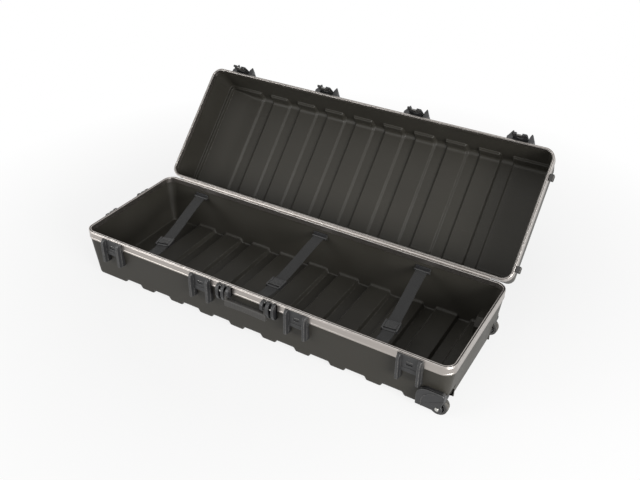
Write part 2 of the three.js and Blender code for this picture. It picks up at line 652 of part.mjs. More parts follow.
// The lever: a barrel on the pin, a plate that hangs over the keeper, stiffening
// skirts along both sides and a window that holds the claw on its own pin.
function latchLever(x) {
  const axis = [x, -HALF_WIDTH - LEVER_AXIS_OUT, LEVER_AXIS_UP];
  const tip = LEVER_AXIS_UP - LEVER_REACH;
  const front = LEVER_BACK + LEVER_THICKNESS;
  const bend = tip + LEVER_THICKNESS;
  const plate = onFront([[LEVER_BACK, LEVER_AXIS_UP], [LEVER_BACK, tip],
    [front + LEVER_THICKNESS, tip], [front, bend], [front, LEVER_AXIS_UP]], LEVER_WIDTH, x);
  const skirtOut = front + LEVER_SKIRT_DEPTH;
  const skirtAt = (LEVER_WIDTH - LEVER_SKIRT) / 2;
  const skirtProfile = [[LEVER_BACK, LEVER_AXIS_UP], [LEVER_BACK, tip], [front, tip]];
  skirtProfile.push([skirtOut, bend], [skirtOut, LEVER_AXIS_UP - LEVER_BARREL_RADIUS]);
  skirtProfile.push([front, LEVER_AXIS_UP]);
  const skirts = [-1, 1].map((sign) => onFront(skirtProfile, LEVER_SKIRT, x + sign * skirtAt));
  const barrel = barX(LEVER_BARREL_RADIUS, LEVER_WIDTH, axis);
  const bore = barX(LATCH_PIN_RADIUS + LATCH_PIN_PLAY, 2 * LEVER_WIDTH, axis);
  const windowHalf = CLAW_WIDTH / 2 + CLAW_SIDE_GAP;
  const window = boxBetween(
    [x - windowHalf, -HALF_WIDTH - skirtOut - OVERRUN, tip - OVERRUN],
    [x + windowHalf, -HALF_WIDTH, CLAW_AXIS_UP + CLAW_WINDOW_UP],
  );
  const clawPin = barX(CLAW_PIN_RADIUS, 2 * windowHalf + LEVER_THICKNESS,
    [x, -HALF_WIDTH - CLAW_AXIS_OUT, CLAW_AXIS_UP]);
  return union(plate, ...skirts, barrel).subtract(union(bore, window)).add(clawPin);
}

// The claw: a sprung catch on the lever's small pin, with a tooth at its tip.
function latchClaw(x) {
  const tip = CLAW_AXIS_UP - CLAW_REACH;
  const back = LEVER_BACK;
  const front = back + CLAW_THICKNESS;
  const profile = [[back, CLAW_AXIS_UP], [back, tip + CLAW_BARB_HEIGHT]];
  profile.push([back - CLAW_BARB, tip + CLAW_BARB_HEIGHT / 2], [back - CLAW_BARB, tip]);
  profile.push([front, tip], [front, CLAW_AXIS_UP]);
  const axis = [x, -HALF_WIDTH - CLAW_AXIS_OUT, CLAW_AXIS_UP];
  const blade = onFront(profile, CLAW_WIDTH, x);
  const barrel = barX(CLAW_BARREL_RADIUS, CLAW_WIDTH, axis);
  const bore = barX(CLAW_PIN_RADIUS + CLAW_PIN_PLAY, 2 * CLAW_WIDTH, axis, ROUND_STEPS / 2 + 2);
  return union(blade, barrel).subtract(bore);
}

// One lobe of a handle bracket; the handle's pin runs through the lobes.
function lobe(x, height) {
  const end = BRACKET_START + height;
  const front = LOBE_SHARES.map(([out, down]) =>
    [BRACKET_DEPTH * out, -BRACKET_START - height * down]);
  return onFront([...seatProfile(BRACKET_START, end), ...front], LOBE_WIDTH, x);
}

// A handle bracket: a back plate and three lobes, the one towards the grip
// shorter so that the grip's end can pass under it. side is -1 or 1.
function handleBracket(side) {
  const x = side * HANDLE_SPACING / 2;
  const end = BRACKET_START + BRACKET_HEIGHT;
  const face = [[BRACKET_PLATE, -BRACKET_START], [BRACKET_PLATE, -end]];
  const full = onFront([...seatProfile(BRACKET_START, end), ...face], BRACKET_WIDTH, x);
  const step = (BRACKET_WIDTH - LOBE_WIDTH) / 2;
  const innerX = x - side * step;
  const notchTop = -BRACKET_START - INNER_LOBE_HEIGHT;
  const edge = x - side * (LOBE_WIDTH / 2);
  const far = innerX - side * BRACKET_WIDTH;
  const notch = boxBetween(
    [Math.min(edge, far), -HALF_WIDTH - 2 * BRACKET_DEPTH, -end - OVERRUN],
    [Math.max(edge, far), -HALF_WIDTH - SEAT, notchTop],
  );
  const lobes = union(lobe(innerX, INNER_LOBE_HEIGHT), lobe(x, BRACKET_HEIGHT),
    lobe(x + side * step, BRACKET_HEIGHT));
  const pin = barX(HANDLE_PIN_RADIUS, 2 * step, [x, -HALF_WIDTH - HANDLE_AXIS_OUT, -HANDLE_AXIS_DOWN]);
  return union(full.subtract(notch), lobes, pin);
}

// The grip: a thick rounded bar with an arm at each end that hangs on the pins.
function handleGrip() {
  const step = (BRACKET_WIDTH - LOBE_WIDTH) / 2;
  const armX = HANDLE_SPACING / 2 - step / 2;
  const half = armX + ARM_WIDTH / 2;
  const top = -HANDLE_AXIS_DOWN - GRIP_TOP;
  const bottom = top - GRIP_HEIGHT;
  const back = HANDLE_AXIS_OUT - GRIP_THICKNESS / 2;
  const front = back + GRIP_THICKNESS;
  const round = GRIP_THICKNESS / 3;
  const section = [[back + round, top], [back, top - round], [back, bottom + round]];
  section.push([back + round, bottom], [front - round, bottom], [front, bottom + round]);
  section.push([front, top - round], [front - round, top]);
  const bar = onFront(section, 2 * half, 0);
  const armBack = HANDLE_AXIS_OUT - ARM_THICKNESS / 2;
  const armFront = HANDLE_AXIS_OUT + ARM_THICKNESS / 2;
  const armTop = -HANDLE_AXIS_DOWN;
  const arms = [-1, 1].map((side) => {
    const x = side * armX;
    const axis = [x, -HALF_WIDTH - HANDLE_AXIS_OUT, armTop];
    const arm = onFront([[armBack, armTop], [armBack, top - round],
      [armFront, top - round], [armFront, armTop]], ARM_WIDTH, x);
    const eye = barX(ARM_THICKNESS / 2, ARM_WIDTH, axis);
    const bore = barX(HANDLE_PIN_RADIUS + HANDLE_PIN_PLAY, 2 * ARM_WIDTH, axis);
    return union(arm, eye).subtract(bore);
  });
  return union(bar, ...arms);
}

// Hinge, drawn in case coordinates with the lid closed

// A leaf with its own knuckles: every second knuckle belongs to this leaf.
// up is 1 for the lid's leaf and -1 for the base's.
function hingeLeaf(up) {
  const pitch = HINGE_LENGTH / KNUCKLE_COUNT;
  const y = HALF_WIDTH + SEAT;
  const clear = KNUCKLE_RADIUS + HINGE_PIN_PLAY;
  const far = HINGE_Z + up * LEAF_HEIGHT;
  const near = HINGE_Z + up * clear;
  const plate = boxBetween([-HINGE_LENGTH / 2, y, Math.min(far, near)],
    [HINGE_LENGTH / 2, y + LEAF_THICKNESS, Math.max(far, near)]);
  const first = up > 0 ? 0 : 1;
  const knuckles = [];
  for (let i = first; i < KNUCKLE_COUNT; i += 2) {
    const x = -HINGE_LENGTH / 2 + (i + 1 / 2) * pitch;
    const width = pitch - KNUCKLE_GAP;
    const tab = boxBetween([x - width / 2, y, Math.min(near + up * SEAT, HINGE_Z)],
      [x + width / 2, y + LEAF_THICKNESS, Math.max(near + up * SEAT, HINGE_Z)]);
    knuckles.push(tab, barX(KNUCKLE_RADIUS, width, [x, HINGE_Y, HINGE_Z], HINGE_STEPS));
  }
  const bore = barX(HINGE_PIN_RADIUS + HINGE_PIN_PLAY, 2 * HINGE_LENGTH,
    [0, HINGE_Y, HINGE_Z], HINGE_STEPS);
  return union(plate, ...knuckles).subtract(bore);
}

function hingePin() {
  const length = HINGE_LENGTH + 2 * PIN_OVERHANG;
  return barX(HINGE_PIN_RADIUS, length, [0, HINGE_Y, HINGE_Z], HINGE_STEPS);
}

// Straps

// Half the clear width between the base's inner walls, at a depth.
function insideHalf(depth) {
  return HALF_WIDTH - wallInset(depth) - BASE_WALL;
}

// The inward faces of an anchor's plate and of its loop, from the middle.
const ANCHOR_FACE = insideHalf(STRAP_DOWN + ANCHOR_HEIGHT / 2) - ANCHOR_THICKNESS;
const LOOP_FACE = ANCHOR_FACE - ANCHOR_LOOP;

// Where a strap meets the back wall, or the front one, along the case.
const backX = (index) => HALF_LENGTH * STRAP_BACK_SHARES[index];
const frontX = (index) => HALF_LENGTH * STRAP_FRONT_SHARES[index];

// A strap's line from the back anchor to the front one: it hangs down to a
// short level run that carries the buckle, and rises again.
function strapLine(index) {
  const end = LOOP_FACE - SEAT;
  const high = RIM_Z - STRAP_DOWN;
  const low = high - STRAP_SAG;
  const along = (y) => THREE.MathUtils.mapLinear(y, end, -end, backX(index), frontX(index));
  const middle = THREE.MathUtils.lerp(-end, end, BUCKLE_FRONT_SHARE);
  const half = BUCKLE_LENGTH / 2 + BUCKLE_HEIGHT;
  const at = (y, z) => new THREE.Vector3(along(y), y, z);
  return [at(end, high), at(middle + half, low), at(middle - half, low), at(-end, high)];
}

// A flat band of the given width and thickness along a line of points, grown
// by an offset all round for a running fit. Its ends lie along X where it has
// to lie flat between two walls, or else square to its own run.
function band(line, width, thickness, offset = 0, endsAlongX = false) {
  const loops = line.map((point, i) => {
    const before = line[Math.max(i - 1, 0)];
    const after = line[Math.min(i + 1, line.length - 1)];
    const run = after.clone().sub(before).setZ(0).normalize();
    const across = endsAlongX ? new THREE.Vector3(1 / run.y, 0, 0) : new THREE.Vector3(-run.y, run.x, 0);
    across.multiplyScalar(width / 2 + offset);
    const up = new THREE.Vector3(0, 0, thickness / 2 + offset);
    return [[1, 1], [-1, 1], [-1, -1], [1, -1]].map(([a, b]) =>
      point.clone().addScaledVector(across, a).addScaledVector(up, b));
  });
  return solidOf(loft(loops, false));
}

// The buckle: a flat sleeve round the strap's level run, with a thumb bar.
function buckle(index) {
  const [, back, front] = strapLine(index);
  const run = front.clone().sub(back).normalize();
  const middle = back.clone().lerp(front, 1 / 2);
  const reach = (distance) => middle.clone().addScaledVector(run, distance);
  const half = BUCKLE_LENGTH / 2;
  const body = band([reach(-half), reach(half)], BUCKLE_WIDTH, BUCKLE_HEIGHT / 2 + STRAP_THICKNESS);
  const rise = new THREE.Vector3(0, 0, BUCKLE_HEIGHT / 2);
  const thumb = [reach(-half / 2).add(rise), reach(half / 2).add(rise)];
  const bar = band(thumb, STRAP_WIDTH, BUCKLE_HEIGHT / 2);
  const way = band([reach(-2 * half), reach(2 * half)], STRAP_WIDTH, STRAP_THICKNESS, SEAT);
  return union(body, bar).subtract(way);
}

// An anchor on the inner wall: a plate with a loop that holds the strap's end.
// side is 1 at the back and -1 at the front.
function anchor(index, side) {
  const x = side > 0 ? backX(index) : frontX(index);
  const top = STRAP_DOWN - ANCHOR_HEIGHT / 2;
  const bottom = STRAP_DOWN + ANCHOR_HEIGHT / 2;
  const wallY = (depth) => insideHalf(depth) - SEAT;
  const inner = ANCHOR_FACE;
  const half = STRAP_THICKNESS / 2 + ANCHOR_WALL;
  const z = RIM_Z - STRAP_DOWN;
  const outline = [[wallY(bottom), RIM_Z - bottom], [wallY(top), RIM_Z - top]];
  outline.push([inner, RIM_Z - top], [inner, z + half], [LOOP_FACE, z + half]);
  outline.push([LOOP_FACE, z - half], [inner, z - half], [inner, RIM_Z - bottom]);
  const points = outline.map(([y, up]) => [side * y, up]);
  if (side < 0) {
    points.reverse();
  }
  return alongX(points, ANCHOR_WIDTH, x);
}

// Assembly
const object = new THREE.Group();

function place(name, solid, look, parent = object) {
  const mesh = new THREE.Mesh(geometryOf(solid), look);
  mesh.name = name;
  parent.add(mesh);
  return mesh;
}

// Base pieces are drawn with the rim plane at z = 0 and lifted to its height.
const base = new THREE.Group();
base.position.z = RIM_Z;
object.add(base);

const lift = (solid, by) => solid.translate([0, 0, by]);
const bothWells = (offset) => union(wheelWell(offset), mirrored(wheelWell(offset)));
const baseOutside = shellForm(BASE_FORM, SHELL_TOP, 0).subtract(lift(bothWells(0), -RIM_Z));
const baseInside = shellForm(BASE_FORM, SHELL_TOP - OVERRUN, BASE_WALL)
  .subtract(lift(bothWells(BASE_WALL), -RIM_Z));
place('base_shell', baseOutside.subtract(baseInside), SHELL_PLASTIC, base);

const groove = GROOVE_WIDTH / 2;
const baseCrown = [[-groove, 0], [-groove, GROOVE_DEPTH], [groove, GROOVE_DEPTH], [groove, 0]];
place('base_valance', rimRing(BASE_WALL, baseCrown), METAL_RIM, base);

LATCH_X.forEach((x, i) => place(`latch_keeper_${i + 1}`, keeper(x), HARD_PLASTIC, base));

const frontHandle = new THREE.Group();
const endHandle = new THREE.Group();
endHandle.rotation.z = -Math.PI / 2;
endHandle.position.x = HALF_WIDTH - HALF_LENGTH;
base.add(frontHandle, endHandle);
[['front', frontHandle], ['end', endHandle]].forEach(([name, group]) => {
  place(`${name}_handle_bracket_left`, handleBracket(-1), HARD_PLASTIC, group);
  place(`${name}_handle_bracket_right`, handleBracket(1), HARD_PLASTIC, group);
  place(`${name}_handle_grip`, handleGrip(), GRIP_PLASTIC, group);
});

// The wheel corner is cut to the shell with a seat gap. The back one is its
// mirror image, set further in.
const grown = shellForm({ ...BASE_FORM, depth: BASE_DEPTH + SEAT }, SHELL_TOP - OVERRUN, -SEAT)
  .subtract(lift(bothWells(-SEAT), -RIM_Z));
const housing = wheelHousing();
const wheelParts = [['wheel_housing', housing, HARD_PLASTIC], ['tyre', tyre(), RUBBER],
  ['wheel_hub', hub(), HARD_PLASTIC], ['wheel_axle', axle(), STEEL]];
wheelParts.forEach(([name, solid, look]) => {
  const cut = (one) => (solid === housing ? one.subtract(lift(grown, RIM_Z)) : one);
  place(`${name}_front`, cut(solid), look);
  place(`${name}_back`, mirrored(cut(solid.translate([0, BACK_WHEEL_INSET, 0]))), look);
});

[0, 1, 2].forEach((i) => {
  const line = strapLine(i);
  place(`strap_${i + 1}`, band(line, STRAP_WIDTH, STRAP_THICKNESS, 0, true), WEBBING);
  place(`strap_buckle_${i + 1}`, buckle(i), HARD_PLASTIC);
  place(`strap_anchor_back_${i + 1}`, anchor(i, 1), HARD_PLASTIC);
  place(`strap_anchor_front_${i + 1}`, anchor(i, -1), HARD_PLASTIC);
});

place('hinge_leaf_base', hingeLeaf(-1), METAL_RIM);
place('hinge_pin', hingePin(), STEEL);

// The lid is drawn closed and then turned open about the hinge pin.
const lid = new THREE.Group();
lid.position.set(0, HINGE_Y, HINGE_Z);
lid.rotation.x = -THREE.MathUtils.degToRad(LID_OPEN);
object.add(lid);
const closedLid = new THREE.Group();
closedLid.position.set(0, -HINGE_Y, -HINGE_Z);
lid.add(closedLid);
const lidRim = new THREE.Group();
lidRim.position.z = LID_RIM_Z;
closedLid.add(lidRim);

// The lid's shell and rim are the base's forms turned over.
const turnedOver = (solid) => solid.mirror([0, 0, 1]);
const lidOutside = shellForm(LID_FORM, SHELL_TOP, 0).subtract(rampCut(0));
const lidInside = shellForm(LID_FORM, SHELL_TOP - OVERRUN, LID_WALL).subtract(rampCut(LID_WALL));
place('lid_shell', turnedOver(lidOutside.subtract(lidInside)), SHELL_PLASTIC, lidRim);

const tongue = TONGUE_WIDTH / 2;
const lidCrown = [[-tongue, 0], [-tongue, -TONGUE_HEIGHT], [tongue, -TONGUE_HEIGHT], [tongue, 0]];
place('lid_valance', turnedOver(rimRing(LID_WALL, lidCrown)), METAL_RIM, lidRim);
place('hinge_leaf_lid', hingeLeaf(1), METAL_RIM, closedLid);

LATCH_X.forEach((x, i) => {
  place(`latch_base_${i + 1}`, latchBase(x), HARD_PLASTIC, lidRim);
  place(`latch_pin_${i + 1}`, latchPin(x), STEEL, lidRim);
  place(`latch_lever_${i + 1}`, latchLever(x), HARD_PLASTIC, lidRim);
  place(`latch_claw_${i + 1}`, latchClaw(x), STEEL, lidRim);
});

// Square bumpers on the wheel end of the lid, so that the case stands level.
function bumper(y) {
  const half = BUMPER_SIZE / 2;
  const x = HALF_LENGTH + SEAT;
  const square = (side, at) => [[1, 1], [-1, 1], [-1, -1], [1, -1]].map(([a, b]) =>
    new THREE.Vector3(at, y + a * side, BUMPER_UP + b * side));
  const shoulder = x + BUMPER_PROUD - BUMPER_CHAMFER;
  const loops = [square(half, x), square(half, shoulder)];
  loops.push(square(half - BUMPER_CHAMFER, x + BUMPER_PROUD));
  return solidOf(loft(loops, false));
}
place('lid_bumper_front', bumper(-HALF_WIDTH + BUMPER_FRONT_INSET), RUBBER, lidRim);
place('lid_bumper_back', bumper(HALF_WIDTH - BUMPER_BACK_INSET), RUBBER, lidRim);

// The origin goes under the middle of everything, on the floor.
object.updateMatrixWorld(true);
const extent = new THREE.Box3().setFromObject(object, true);
const middle = extent.getCenter(new THREE.Vector3());
object.position.set(-middle.x, -middle.y, -extent.min.z);
const utilityCase = new THREE.Group();
utilityCase.add(object);

export default utilityCase;
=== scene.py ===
"""A long wheeled utility case, standing open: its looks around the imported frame."""

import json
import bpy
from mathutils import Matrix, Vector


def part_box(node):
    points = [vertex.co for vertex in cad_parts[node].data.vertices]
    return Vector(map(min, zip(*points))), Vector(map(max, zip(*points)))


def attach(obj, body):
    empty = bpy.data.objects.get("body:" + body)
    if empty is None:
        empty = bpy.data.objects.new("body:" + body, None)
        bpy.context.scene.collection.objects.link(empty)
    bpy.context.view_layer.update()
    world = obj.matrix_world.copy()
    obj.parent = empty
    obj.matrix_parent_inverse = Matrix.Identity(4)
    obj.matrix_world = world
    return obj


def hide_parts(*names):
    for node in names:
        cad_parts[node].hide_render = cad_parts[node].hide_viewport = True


bl_info = {
    "name": "Wheeled Utility Case",
    "version": (1, 0, 0),
    "blender": (4, 5, 0),
    "location": "3D View > Sidebar > Utility Case",
    "description": "Builds the shells, rims, latches, handles, wheels and straps of an open utility case",
    "category": "Object",
}

from dataclasses import dataclass

import bmesh
import bpy
import numpy as np
from bpy.props import FloatProperty, FloatVectorProperty, PointerProperty
from mathutils import Matrix

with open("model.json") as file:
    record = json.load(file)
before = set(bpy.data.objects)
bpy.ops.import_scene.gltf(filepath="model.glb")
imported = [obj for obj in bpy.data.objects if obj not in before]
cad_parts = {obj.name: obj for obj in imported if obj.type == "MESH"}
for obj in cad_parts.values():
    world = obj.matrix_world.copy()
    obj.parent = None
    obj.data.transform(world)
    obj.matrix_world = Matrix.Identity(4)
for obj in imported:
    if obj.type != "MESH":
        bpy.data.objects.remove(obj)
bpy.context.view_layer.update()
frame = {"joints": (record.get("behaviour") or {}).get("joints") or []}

# The case's sizes, in millimetres, as its solids have them
MM = 0.001
HALF_LENGTH, HALF_WIDTH = 650.0, 218.5
CASE_CORNER, PANEL_CORNER = 36.0, 6.0
BASE_WALL, LID_WALL = 4.0, 3.0
BASE_DEPTH, LID_DEPTH, FOOT_HEIGHT, LID_RIB_HEIGHT = 164.0, 160.0, 12.0, 8.0
LEAN = np.tan(np.radians(6.0))
EDGE_FILLET, LEDGE_DEPTH, LEDGE_STEP = 20.0, 123.0, 10.0
RAMP_LENGTH, RAMP_RISE = 104.0, 30.0
RIM_FACE, RIM_INNER_FACE, RIM_METAL, RIM_CROWN = 30.0, 18.0, 1.8, 5.0
CROWN_LINE, SEAT = 3.9, 0.3
SHELL_INSET, SHELL_TOP = RIM_METAL + SEAT, RIM_CROWN + SEAT
RIB_PITCH, RIB_WIDTH, RIB_FLANK = 119.0, 43.0, 7.0
WELL_LENGTH, WELL_WIDTH, WELL_HEIGHT = 62.0, 76.0, 64.0
WELL_DEPTH = BASE_DEPTH + FOOT_HEIGHT - WELL_HEIGHT

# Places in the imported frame, in metres
RIM_LOW, RIM_HIGH = (np.array(corner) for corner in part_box("base_valance"))
MIDDLE_X, MIDDLE_Y = (RIM_LOW + RIM_HIGH)[:2] / 2
RIM_Z = RIM_HIGH[2]
PIN_LOW, PIN_HIGH = (np.array(corner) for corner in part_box("hinge_pin"))
HINGE_Y, HINGE_Z = (PIN_LOW + PIN_HIGH)[1:] / 2
LID_OPEN = next(j["range_deg"][1] for j in frame["joints"] if j["name"] == "lid_hinge")
RIM_GAP = 2 * (HINGE_Z - RIM_Z)

# Each carries millimetres to the frame: from the floor, the base's rim, the lid's rim with
# the lid shut, and the middle of the left end's rim face
CASE_TO_ROW, BASE_TO_ROW, LID_TO_ROW, END_TO_ROW = (
    np.array(place @ Matrix.Scale(MM, 4))
    for place in (
        Matrix.Translation((MIDDLE_X, MIDDLE_Y, 0)),
        Matrix.Translation((MIDDLE_X, MIDDLE_Y, RIM_Z)),
        Matrix.Translation((0, HINGE_Y, HINGE_Z))
        @ Matrix.Rotation(-np.radians(LID_OPEN), 4, "X")
        @ Matrix.Translation((MIDDLE_X, MIDDLE_Y - HINGE_Y, RIM_Z + RIM_GAP - HINGE_Z)),
        Matrix.Translation((MIDDLE_X + (HALF_WIDTH - HALF_LENGTH) * MM, MIDDLE_Y, RIM_Z))
        @ Matrix.Rotation(-np.pi / 2, 4, "Z"),
    )
)


# Colours and nodes
def linear(text):
    """A colour written as sRGB hex, as linear red, green, blue and alpha: each share c is
    c / 12.92 up to 0.04045, and ((c + 0.055) / 1.055) to the power 2.4 above."""
    share = np.array([int(text[i : i + 2], 16) / 255 for i in (1, 3, 5)])
    value = np.where(share <= 0.04045, share / 12.92, ((share + 0.055) / 1.055) ** 2.4)
    return (*(float(v) for v in value), 1.0)


def node(tree, kind, inputs=None, **settings):
    """Adds one shader node, sets its settings, and gives each input a value, a socket to
    link, or a node to link by its first output in use."""
    made = tree.nodes.new("ShaderNode" + kind)
    for name, value in settings.items():
        setattr(made, name, value)
    for name, value in (inputs or {}).items():
        if isinstance(value, bpy.types.Node):
            value = next(output for output in value.outputs if output.enabled)
        if isinstance(value, bpy.types.NodeSocket):
            tree.links.new(value, made.inputs[name])
        else:
            made.inputs[name].default_value = value
    return made


def worn_edges(tree, place, size):
    """How worn a spot is, from 0 to 1: the piece's own measure of how sharply its surface
    bends there, times a noise with patches of the given size in millimetres."""
    bend = node(tree, "Attribute", attribute_name="bend").outputs["Fac"]
    patches = node(tree, "TexNoise", {"Vector": place, "Scale": 1 / (size * MM), "Detail": 5.0})
    broken = node(tree, "MapRange", {"Value": patches, "From Min": 0.36, "From Max": 0.6})
    return node(tree, "Math", {0: bend, 1: broken}, operation="MULTIPLY")


def scuffs(tree, place, stretch, share):
    """Fine scratches, from 0 to a share: the crests of a noise stretched along one way."""
    drawn = node(tree, "Mapping", {"Vector": place, "Scale": stretch, "Rotation": (0.3, 0.5, 0.2)})
    lines = node(tree, "TexNoise", {"Vector": drawn, "Scale": 1.0, "Detail": 6.0, "Roughness": 0.7})
    crests = {"Value": lines, "From Min": 0.62, "From Max": 0.7, "To Max": share}
    return node(tree, "MapRange", crests)


def grained(tree, place, scale, detail, strength, depth):
    """The relief of a fine, even grain whose depth is in millimetres."""
    grain = node(tree, "TexNoise", {"Vector": place, "Scale": scale, "Detail": detail})
    return node(tree, "Bump", {"Height": grain, "Strength": strength, "Distance": depth * MM})


# Materials: each function gives the inputs of the shader of the material with its name.
# A pattern's scale is how often it repeats in a metre: 1000 over its size in millimetres.
def haircell_polyethylene(tree, look):
    """Polyethylene sheet formed over a mould with a haircell grain: a soft, low gloss
    that is broken up by small pebbles, with slow changes of shade across a panel, paler
    where corners have rubbed and with a few fine scuffs."""
    place = node(tree, "TexCoord").outputs["Object"]
    slow = node(tree, "TexNoise", {"Vector": place, "Scale": 6.0, "Detail": 3.0})
    shades = {"Factor": slow, "A": (*look.shell_colour, 1), "B": (*look.shell_pale, 1)}
    shade = node(tree, "Mix", shades, data_type="RGBA")
    marks = {0: worn_edges(tree, place, 9.0), 1: scuffs(tree, place, (14.0, 420.0, 420.0), 0.35)}
    rubbed = node(tree, "Math", marks, operation="MAXIMUM")
    tint = {"Factor": rubbed, "A": shade, "B": linear("#4c4a46")}
    # Haircell pebbles are about 1 mm across; they are drawn at the set size so that they show.
    pebbles = {"Vector": place, "Scale": 1 / (look.grain_size * MM)}
    pebbles = node(tree, "TexVoronoi", pebbles, feature="SMOOTH_F1")
    fine = node(tree, "TexNoise", {"Vector": place, "Scale": 900.0, "Detail": 2.0})
    grain = node(tree, "Math", {0: pebbles, 1: fine}, operation="ADD")
    relief = {"Height": grain, "Strength": look.grain_strength, "Distance": 0.3 * MM}
    low, high = look.shell_roughness - 0.05, look.shell_roughness + 0.06
    gloss = {"Value": slow, "From Min": 0.3, "From Max": 0.7, "To Min": low, "To Max": high}
    return {
        "Base Color": node(tree, "Mix", tint, data_type="RGBA"),
        "Roughness": node(tree, "MapRange", gloss),
        "IOR": 1.51,
        "Specular IOR Level": 0.25,
        "Normal": node(tree, "Bump", relief),
    }


def satin_anodised_aluminium(tree, look):
    """Aluminium drawn through a die and satin anodised: a pale metal with fine die lines
    that run along its length and stretch each highlight across them, brighter where the
    anodising has rubbed off an edge."""
    place = node(tree, "UVMap", uv_map="along")
    lines = node(tree, "Mapping", {"Vector": place, "Scale": (3.0, 2200.0, 1.0)})
    drawn = node(tree, "TexNoise", {"Vector": lines, "Scale": 1.0, "Detail": 3.0})
    worn = worn_edges(tree, node(tree, "TexCoord").outputs["Object"], 12.0)
    tint = {"Factor": worn, "A": (*look.metal_colour, 1), "B": linear("#e2e0dd")}
    low, high = look.metal_roughness - 0.07, look.metal_roughness + 0.1
    relief = {"Height": drawn, "Strength": 0.25, "Distance": 0.1 * MM}
    return {
        "Base Color": node(tree, "Mix", tint, data_type="RGBA"),
        "Metallic": 1.0,
        "Roughness": node(tree, "MapRange", {"Value": drawn, "To Min": low, "To Max": high}),
        "Normal": node(tree, "Bump", relief),
    }


def glass_filled_nylon(tree, look):
    """Glass-filled nylon, injection moulded in a spark-eroded tool: nearly black, with a
    fine matt texture, a soft sheen on its rounded edges and grey where they have rubbed."""
    place = node(tree, "TexCoord").outputs["Object"]
    slow = node(tree, "TexNoise", {"Vector": place, "Scale": 40.0})
    worn = worn_edges(tree, place, 4.0)
    tint = {"Factor": worn, "A": (*look.hardware_colour, 1), "B": linear("#454442")}
    return {
        "Base Color": node(tree, "Mix", tint, data_type="RGBA"),
        "Roughness": node(tree, "MapRange", {"Value": slow, "To Min": 0.34, "To Max": 0.52}),
        "IOR": 1.53,
        "Normal": grained(tree, place, 1400.0, 3.0, 0.35, 0.1),
    }


def thermoplastic_elastomer(tree, look):
    """Thermoplastic elastomer moulded over the handle's bar: warm dark grey, duller than
    the brackets, with a soft grain and smoother, darker patches where hands hold it."""
    place = node(tree, "TexCoord").outputs["Object"]
    held = node(tree, "TexNoise", {"Vector": place, "Scale": 25.0, "Detail": 2.0})
    tint = {"Factor": held, "A": linear("#252423"), "B": linear("#383633")}
    return {
        "Base Color": node(tree, "Mix", tint, data_type="RGBA"),
        "Roughness": node(tree, "MapRange", {"Value": held, "To Min": 0.48, "To Max": 0.72}),
        "IOR": 1.5,
        "Normal": grained(tree, place, 1000.0, 3.0, 0.4, 0.15),
    }


def zinc_plated_steel(tree, look):
    """Turned and headed steel with a bright zinc plate: a clear reflection that is
    slightly clouded in places."""
    place = node(tree, "TexCoord").outputs["Object"]
    cloud = node(tree, "TexNoise", {"Vector": place, "Scale": 160.0, "Detail": 4.0})
    tint = {"Factor": cloud, "A": linear("#b9b8b4"), "B": linear("#d0cfca")}
    return {
        "Base Color": node(tree, "Mix", tint, data_type="RGBA"),
        "Metallic": 1.0,
        "Roughness": node(tree, "MapRange", {"Value": cloud, "To Min": 0.16, "To Max": 0.34}),
    }


def blackened_spring_steel(tree, look):
    """Spring steel strip, stamped, tumbled and blackened: a dull dark metal whose rubbed
    edges show bright."""
    place = node(tree, "TexCoord").outputs["Object"]
    cloud = node(tree, "TexNoise", {"Vector": place, "Scale": 240.0, "Detail": 4.0})
    worn = worn_edges(tree, place, 5.0)
    tint = {"Factor": worn, "A": linear("#6b6a68"), "B": linear("#c9c8c4")}
    return {
        "Base Color": node(tree, "Mix", tint, data_type="RGBA"),
        "Metallic": 1.0,
        "Roughness": node(tree, "MapRange", {"Value": cloud, "To Min": 0.3, "To Max": 0.5}),
    }


def matt_rubber(tree, look):
    """Black rubber from a matt mould: dull, with a dusty, slightly uneven shade."""
    place = node(tree, "TexCoord").outputs["Object"]
    dust = node(tree, "TexNoise", {"Vector": place, "Scale": 90.0, "Detail": 4.0})
    dusty = {"Factor": dust, "A": linear("#191919"), "B": linear("#2b2a29")}
    dusty = node(tree, "Mix", dusty, data_type="RGBA")
    tint = {"Factor": worn_edges(tree, place, 6.0), "A": dusty, "B": linear("#54514b")}
    return {
        "Base Color": node(tree, "Mix", tint, data_type="RGBA"),
        "Roughness": 0.72,
        "IOR": 1.52,
        "Normal": grained(tree, place, 1100.0, 2.0, 0.3, 0.15),
    }


def woven_polypropylene(tree, look):
    """Black polypropylene webbing: a plain weave of flat yarns, each a small pillow that
    catches a glint, between two plain selvedges. Its colour is painted lighter on each
    pillow's crest, a painted highlight, and darker in the creases between them, painted shade."""
    split = node(tree, "SeparateXYZ", {"Vector": node(tree, "UVMap", uv_map="along")})
    # The rows are about 1.4 mm apart on such webbing; they are drawn at the set spacing.
    waves = {}
    for way, pitch in enumerate((look.weave_pitch, look.weave_pitch * 1.25)):
        turn = {0: split.outputs[way], 1: np.pi / (pitch * MM)}
        turn = node(tree, "Math", turn, operation="MULTIPLY")
        waves[way] = node(tree, "Math", {0: turn}, operation="SINE")
    crossing = node(tree, "Math", waves, operation="MULTIPLY")
    pillow = node(tree, "Math", {0: crossing}, operation="ABSOLUTE")
    weave = node(tree, "Math", {0: pillow, 1: 0.5}, operation="POWER")
    # Painted highlight on each pillow's crest and painted shade in the creases between the yarns.
    tint = {"Factor": weave, "A": linear("#060606"), "B": linear("#191919")}
    return {
        "Base Color": node(tree, "Mix", tint, data_type="RGBA"),
        "Roughness": 0.8,
        "IOR": 1.49,
        "Sheen Weight": 0.08,
        "Sheen Roughness": 0.4,
        "Normal": node(tree, "Bump", {"Height": weave, "Strength": 0.8, "Distance": 0.5 * MM}),
    }


